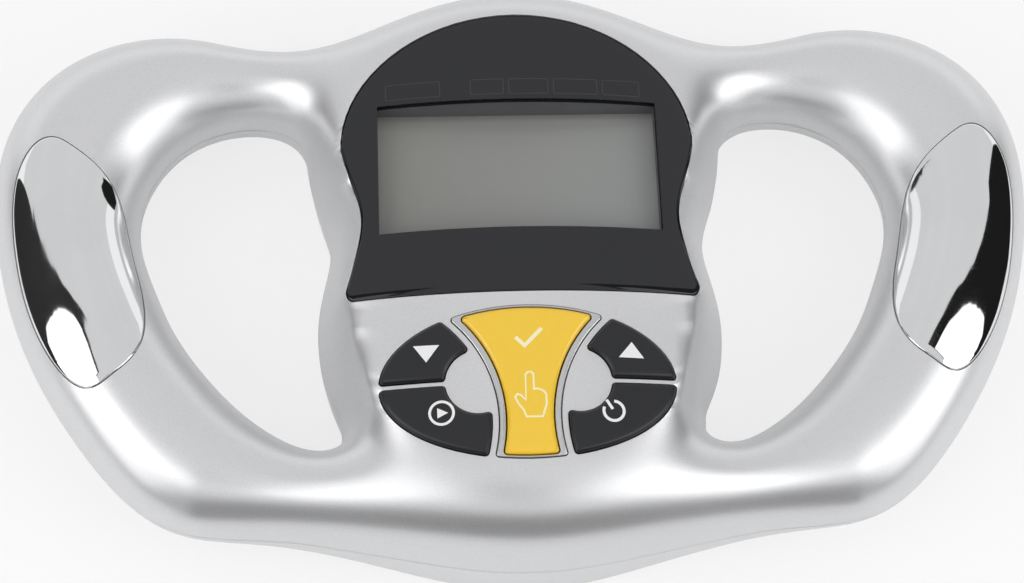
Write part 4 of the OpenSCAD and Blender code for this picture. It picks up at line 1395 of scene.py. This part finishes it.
class DarkKeys(bpy.types.Operator):
    """The four dark keys round the middle one, with their marks"""
    bl_idname = "analyzer.dark_keys"
    bl_label = "Dark keys"

    def execute(self, context):
        s = context.scene.analyzer.keys
        for key in DARK_KEYS:
            key_cap(key, s.edge / MM, dark_key_finish(s), "dark_key")
        white = printed_mark("white_ink", s.mark_colour)
        down = [(-21.4, -21.1), (-19.0, -24.5), (-16.5, -21.2)]
        up = [(17.0, -24.3), (21.8, -24.4), (19.6, -21.2)]
        play = np.array([(-0.8, -1.0), (1.2, 0), (-0.8, 1.0)]) + START_MARK
        play_ring = circle(*START_MARK, 2.2, 40)
        ring = turned_about(arc(0, 0, 1.9, 125, 415), *POWER_MARK, POWER_TURN)
        bar = turned_about([(0, 0.4), (0, 2.5)], *POWER_MARK, POWER_TURN)
        for key, strokes, fills in (
                ("down_key", [], [down]), ("up_key", [], [up]),
                ("start_key", [(play_ring, 0.5, True)], [play]),
                ("power_key", [(ring, 0.55, False), (bar, 0.55, False)], [])):
            key_mark(key, strokes, fills, white, "dark_key")
        return {"FINISHED"}


class MiddleKey(bpy.types.Operator):
    """The yellow middle key with its marks, and the silver band round it"""
    bl_idname = "analyzer.middle_key"
    bl_label = "Middle key"

    def execute(self, context):
        s = context.scene.analyzer
        key_cap("set_key", s.keys.edge / MM, yellow_key_finish(s.keys), "yellow_key")
        tick = [(-2.3, -20.3), (-0.6, -22.0), (2.7, -18.6)]
        hand = HAND * HAND_SCALE + HAND_PLACE
        strokes = [(tick, 0.75, False), (hand, 0.34, True)]
        pale = printed_mark("pale_ink", s.keys.pale_mark_colour)
        key_mark("set_key", strokes, [], pale, "yellow_key")
        band = softened("middle_key_band", "set_key_bezel", 0.12)
        finish = plain_finish("band_plate", (0.66, 0.665, 0.67), 0.24, 0.9, grain=1800.0)
        dress(band, finish, HOUSING, "silver_paint", "set_key_bezel")
        return {"FINISHED"}


class Electrodes(bpy.types.Operator):
    """Four chrome plates on the handles, two in front and two behind"""
    bl_idname = "analyzer.electrodes"
    bl_label = "Electrodes"

    def execute(self, context):
        s = context.scene.analyzer.pads
        for front in (True, False):
            for side, sign in (("right", 1), ("left", -1)):
                node = f"{side}_{'front' if front else 'rear'}_electrode"
                depths = PAD_PROUD - PAD_T, PAD_PROUD
                mesh = pad_mesh(node + "_plate", front, *depths, edge_r=s.edge / MM)
                if sign < 0:
                    flipped(mesh)
                plate_obj = place(node + "_plate", outwards(mesh), sharp=60)
                dress(plate_obj, chrome_plate(s), HOUSING, "chrome_plate", node)
        return {"FINISHED"}


class Batteries(bpy.types.Operator):
    """The two cells, their springs and plates, and the door"""
    bl_idname = "analyzer.batteries"
    bl_label = "Batteries"

    def execute(self, context):
        s = context.scene.analyzer
        wrap = cell_wrap()
        for node, flip in (("battery_cell_a", 1), ("battery_cell_b", -1)):
            low, high = (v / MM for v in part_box(node))
            middle = (low + high) / 2
            start = low.x if flip > 0 else -high.x
            outline = cell_profile(high.x - low.x, (high.z - low.z) / 2)
            outline = [(start + x, r) for x, r in outline]
            bar = turned_bar(node + "_body", outline, middle.y, middle.z, flip)
            dress(place(node + "_body", outwards(bar), sharp=25), wrap, HOUSING, "cell_wrap", node)
        steel = plain_finish("spring_steel", (0.7, 0.71, 0.72), 0.25, 1.0, grain=3000.0)
        end = BAY_W / 2 - SPRING_SEAT
        places = [[-end, BAY_Y + CELL_PITCH / 2, CELL_Z], [end, BAY_Y - CELL_PITCH / 2, CELL_Z]]
        widths = {"wire_width": 0.5, "base_width": 6.9, "tip_width": 4.0}
        springs = spring_tree(steel).grow("springs", places, length=5.7, **widths)
        dress(springs, steel, HOUSING, "spring_steel", "battery_springs")
        show_node("battery_plates", steel)
        door = softened("door", "battery_door", 0.2, 3)
        dress(door, silver_paint(s.body), "battery_door", "silver_paint", "battery_door")
        return {"FINISHED"}


class Screws(bpy.types.Operator):
    """The eight screws that join the shells and the four that hold the board"""
    bl_idname = "analyzer.screws"
    bl_label = "Screws"

    def execute(self, context):
        steel = plain_finish("screw_steel", (0.34, 0.34, 0.36), 0.3, 1.0, grain=3000.0)
        tree = screw_tree(steel)
        shell = tree.grow("housing_screws", [[x, y, SEAT_Z] for x, y in screw_places()])
        dress(shell, steel, HOUSING, "screw_steel", "shell_screws")
        low, high = (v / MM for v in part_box("board_screws"))
        half = BOARD_HEAD_W / 2
        x, top, base = high.x - half, high.y - half, low.y + half
        seat = low.z + BOARD_HEAD_H
        places = [[s * x, y, seat] for y in (top, base) for s in (1, -1)]
        head = {"head_width": BOARD_HEAD_W, "head_height": BOARD_HEAD_H}
        board = tree.grow("board_fixing_screws", places, shank_width=1.6, shank_length=4.4, **head)
        dress(board, steel, HOUSING, "screw_steel", "board_screws")
        return {"FINISHED"}


class InnerParts(bpy.types.Operator):
    """Finishes for the board, the domes, the wires and the other parts inside"""
    bl_idname = "analyzer.inner_parts"
    bl_label = "Inner parts"

    def execute(self, context):
        silicone = plain_finish("silicone", (0.62, 0.62, 0.6), 0.55, grain=1500.0)
        finishes = {
            "main_board": board_finish(),
            "chip_cover": plain_finish("chip_resin", (0.01, 0.01, 0.011), 0.3),
            "zebra_strips": plain_finish("strip_rubber", (0.05, 0.05, 0.05), 0.7),
            "key_mat": silicone,
            "electrode_leads": plain_finish("red_wire", (0.4, 0.02, 0.015), 0.4),
            "battery_leads": plain_finish("black_wire", (0.015, 0.015, 0.016), 0.4),
        }
        for key in ("down", "up", "start", "power", "set"):
            finishes[key + "_dome"] = silicone
        for node, material in finishes.items():
            show_node(node, material)
        return {"FINISHED"}


class Studio(bpy.types.Operator):
    """Pale floor, soft light, reflection cards and the camera"""
    bl_idname = "analyzer.studio"
    bl_label = "Studio"

    def execute(self, context):
        s = context.scene.analyzer.studio
        scene = context.scene
        scene.view_settings.view_transform = "Standard"
        self.world(scene, s)
        self.floor(s)
        self.lamps(s)
        self.cards()
        self.camera(scene)
        return {"FINISHED"}

    def world(self, scene, s):
        """White where it is seen or mirrored, and a soft sky for its light."""
        world = scene.world or bpy.data.worlds.new("studio")
        scene.world = world
        world.use_nodes = True
        tree = world.node_tree
        tree.nodes.clear()
        start = Wire(tree, tree.nodes.new("ShaderNodeTexCoord").outputs["Generated"])
        _, _, z = start.split()
        light = z.faded(-0.15, 0.9).blended((0.5, 0.505, 0.51, 1), (1, 1, 1, 1))
        glow = light.node("ShaderNodeBackground", None, {"Color": light, "Strength": s.sky})
        white = light.node("ShaderNodeBackground", None, {"Color": (1, 1, 1, 1), "Strength": 1.0})
        seen = light.node("ShaderNodeLightPath", out="Is Camera Ray")
        shown = (seen + seen.output("Is Glossy Ray") + seen.output("Is Transmission Ray")).smallest(1.0)
        mixed = light.node("ShaderNodeMixShader", None, {0: shown, 1: glow, 2: white})
        tree.links.new(mixed.socket, tree.nodes.new("ShaderNodeOutputWorld").inputs["Surface"])

    def floor(self, s):
        """A pale floor with a share of even glow where it is seen or mirrored."""
        corners = np.array([[-1, -1, 0], [1, -1, 0], [1, 1, 0], [-1, 1, 0]]) * FLOOR_HALF / MM
        mesh = make_mesh("floor", corners, [[0, 1, 2, 3]])
        floor = place("floor", mesh)
        floor.location.z = FLOOR_Z
        f = Finish("floor_paper", roughness=0.9)
        fibres = f.place.noise(300.0, 2.0)
        f.give(base_color=fibres.blended(colour4(s.floor_colour, 0.985), colour4(s.floor_colour)))
        glow = f.surface.node("ShaderNodeEmission", None, {"Color": (1, 1, 1, 1), "Strength": 1.0})
        seen = f.surface.node("ShaderNodeLightPath", out="Is Camera Ray")
        shown = seen * 0.72 + (seen.output("Is Glossy Ray") + seen.output("Is Transmission Ray")) * 0.25
        mixed = f.surface.node("ShaderNodeMixShader", None, {0: shown, 1: f.surface, 2: glow})
        f.tree.links.new(mixed.socket, f.tree.nodes["Material Output"].inputs["Surface"])
        mesh.materials.append(f.material)

    def lamps(self, s):
        """Soft boxes on both sides, aimed at the middle."""
        for name, side in (("left_box", -1), ("right_box", 1)):
            data = bpy.data.lights.new(name, "AREA")
            data.energy = s.box_power
            data.shape = "RECTANGLE"
            data.size, data.size_y = BOX_SIZE
            lamp = bpy.data.objects.new(name, data)
            bpy.context.scene.collection.objects.link(lamp)
            lamp.location = (side * BOX_AT[0], BOX_AT[1], BOX_AT[2])
            lamp.rotation_mode = "QUATERNION"
            lamp.rotation_quaternion = (-lamp.location).to_track_quat("-Z", "Y")

    def cards(self):
        """Cards round the object, which only its reflections show: each one's level, middle, distance and
        rows of elevation with the two azimuths of its edges in degrees."""
        x, y, z = CARDS_AT
        mirror = [1, -1, -1]
        for name, level, middle, far, rows in (
                ("left_card", 0.03, -x, 0.8, [(-6, -150, -62), (50, -150, -62)]),
                ("right_card", 0.012, x, 0.8, [(-8, 57, 150), (44, 57, 150)]),
                ("left_tip", 0.03, -x, 0.79, TIP * mirror), ("right_tip", 0.012, x, 0.79, TIP),
                ("left_pane", 1.4, -x, 0.7, PANE * mirror), ("right_pane", 1.4, x, 0.7, PANE),
                ("ceiling", 0.72, 0, 1.1, [(22, 0, 360), (89.9, 0, 360)]),
                ("camera_card", 0.25, 0, 0.7, [(60, 163, 213), (80, 163, 213)])):
            high, left, right = np.array(rows, float).T
            up = np.linspace(high[0], high[-1], CARD_ROWS)
            edges = np.array([np.interp(up, high, left), np.interp(up, high, right)])
            around = np.radians(np.linspace(*edges, CARD_COLUMNS, axis=1))
            up = np.radians(np.repeat(up[:, None], CARD_COLUMNS, 1))
            way = np.stack([np.sin(around) * np.cos(up), np.cos(around) * np.cos(up), np.sin(up)], -1)
            self.show_in_mirrors(name, joined(name, [way * far / MM + [middle, y, z]]), level)
        near = np.array([[-120, -150, 0], [120, -150, 0], [120, -150, 110], [-120, -150, 110]])
        self.show_in_mirrors("front_card", make_mesh("front_card", near, [[0, 1, 2, 3]]), 0.1)

    def grey_card(self, name, level):
        """A nearly even glow of one level."""
        f = Finish(name, roughness=0.9, base_color=(0, 0, 0), specular_ior_level=0.0)
        patches = f.place.noise(3.0, 1.0)
        tone = patches.blended(colour4((level,) * 3, 0.96), colour4((level,) * 3, 1.04))
        return f.give(emission_color=tone, emission_strength=1.0)

    def show_in_mirrors(self, name, mesh, level):
        """Adds a card that only reflections show."""
        obj = place(name, mesh)
        mesh.materials.append(self.grey_card(name, level))
        obj.visible_camera = False
        obj.visible_diffuse = False
        obj.visible_shadow = False

    def camera(self, scene):
        """The camera, which looks down from the front with a slight roll."""
        azimuth, elevation, roll = map(math.radians, CAMERA_ANGLES)
        level = math.cos(elevation)
        back = Vector((math.sin(azimuth) * level, -math.cos(azimuth) * level, math.sin(elevation)))
        right = Vector((0, 0, 1)).cross(back).normalized()
        up = back.cross(right)
        right, up = (right * math.cos(roll) + up * math.sin(roll),
                     up * math.cos(roll) - right * math.sin(roll))
        data = bpy.data.cameras.new("camera")
        data.sensor_width = CAMERA_SENSOR
        data.lens = CAMERA_LENS
        data.clip_start, data.clip_end = 0.02, 20
        camera = bpy.data.objects.new("camera", data)
        scene.collection.objects.link(camera)
        place_at = Vector(CAMERA_AIM) * MM + back * CAMERA_FAR
        turn = Matrix((right, up, back)).transposed().to_4x4()
        camera.matrix_world = Matrix.Translation(place_at) @ turn
        scene.camera = camera


STEPS = [
    FrontHousing, RearHousing, DisplayWindow, DarkKeys, MiddleKey, Electrodes, Batteries, Screws, InnerParts,
    Studio]
SETTINGS = [BodySettings, DisplaySettings, KeySettings, PadSettings, StudioSettings, AnalyzerSettings]


class AnalyzerPanel(bpy.types.Panel):
    """Lists the steps that dress the analyzer"""
    bl_idname = "VIEW3D_PT_analyzer"
    bl_label = "Body Fat Analyzer"
    bl_space_type = "VIEW_3D"
    bl_region_type = "UI"
    bl_category = "Analyzer"

    def draw(self, context):
        for step in STEPS:
            self.layout.operator(step.bl_idname)
        for group in ("body", "display", "keys", "pads", "studio"):
            settings = getattr(context.scene.analyzer, group)
            box = self.layout.box()
            for key in settings.__annotations__:
                box.prop(settings, key)


def register():
    for kind in [*SETTINGS, *STEPS, AnalyzerPanel]:
        bpy.utils.register_class(kind)
    bpy.types.Scene.analyzer = PointerProperty(type=AnalyzerSettings)


def unregister():
    del bpy.types.Scene.analyzer
    for kind in reversed([*SETTINGS, *STEPS, AnalyzerPanel]):
        bpy.utils.unregister_class(kind)


def main():
    register()
    for step in STEPS:
        group, name = step.bl_idname.split(".")
        getattr(getattr(bpy.ops, group), name)()


if __name__ == "__main__":
    main()
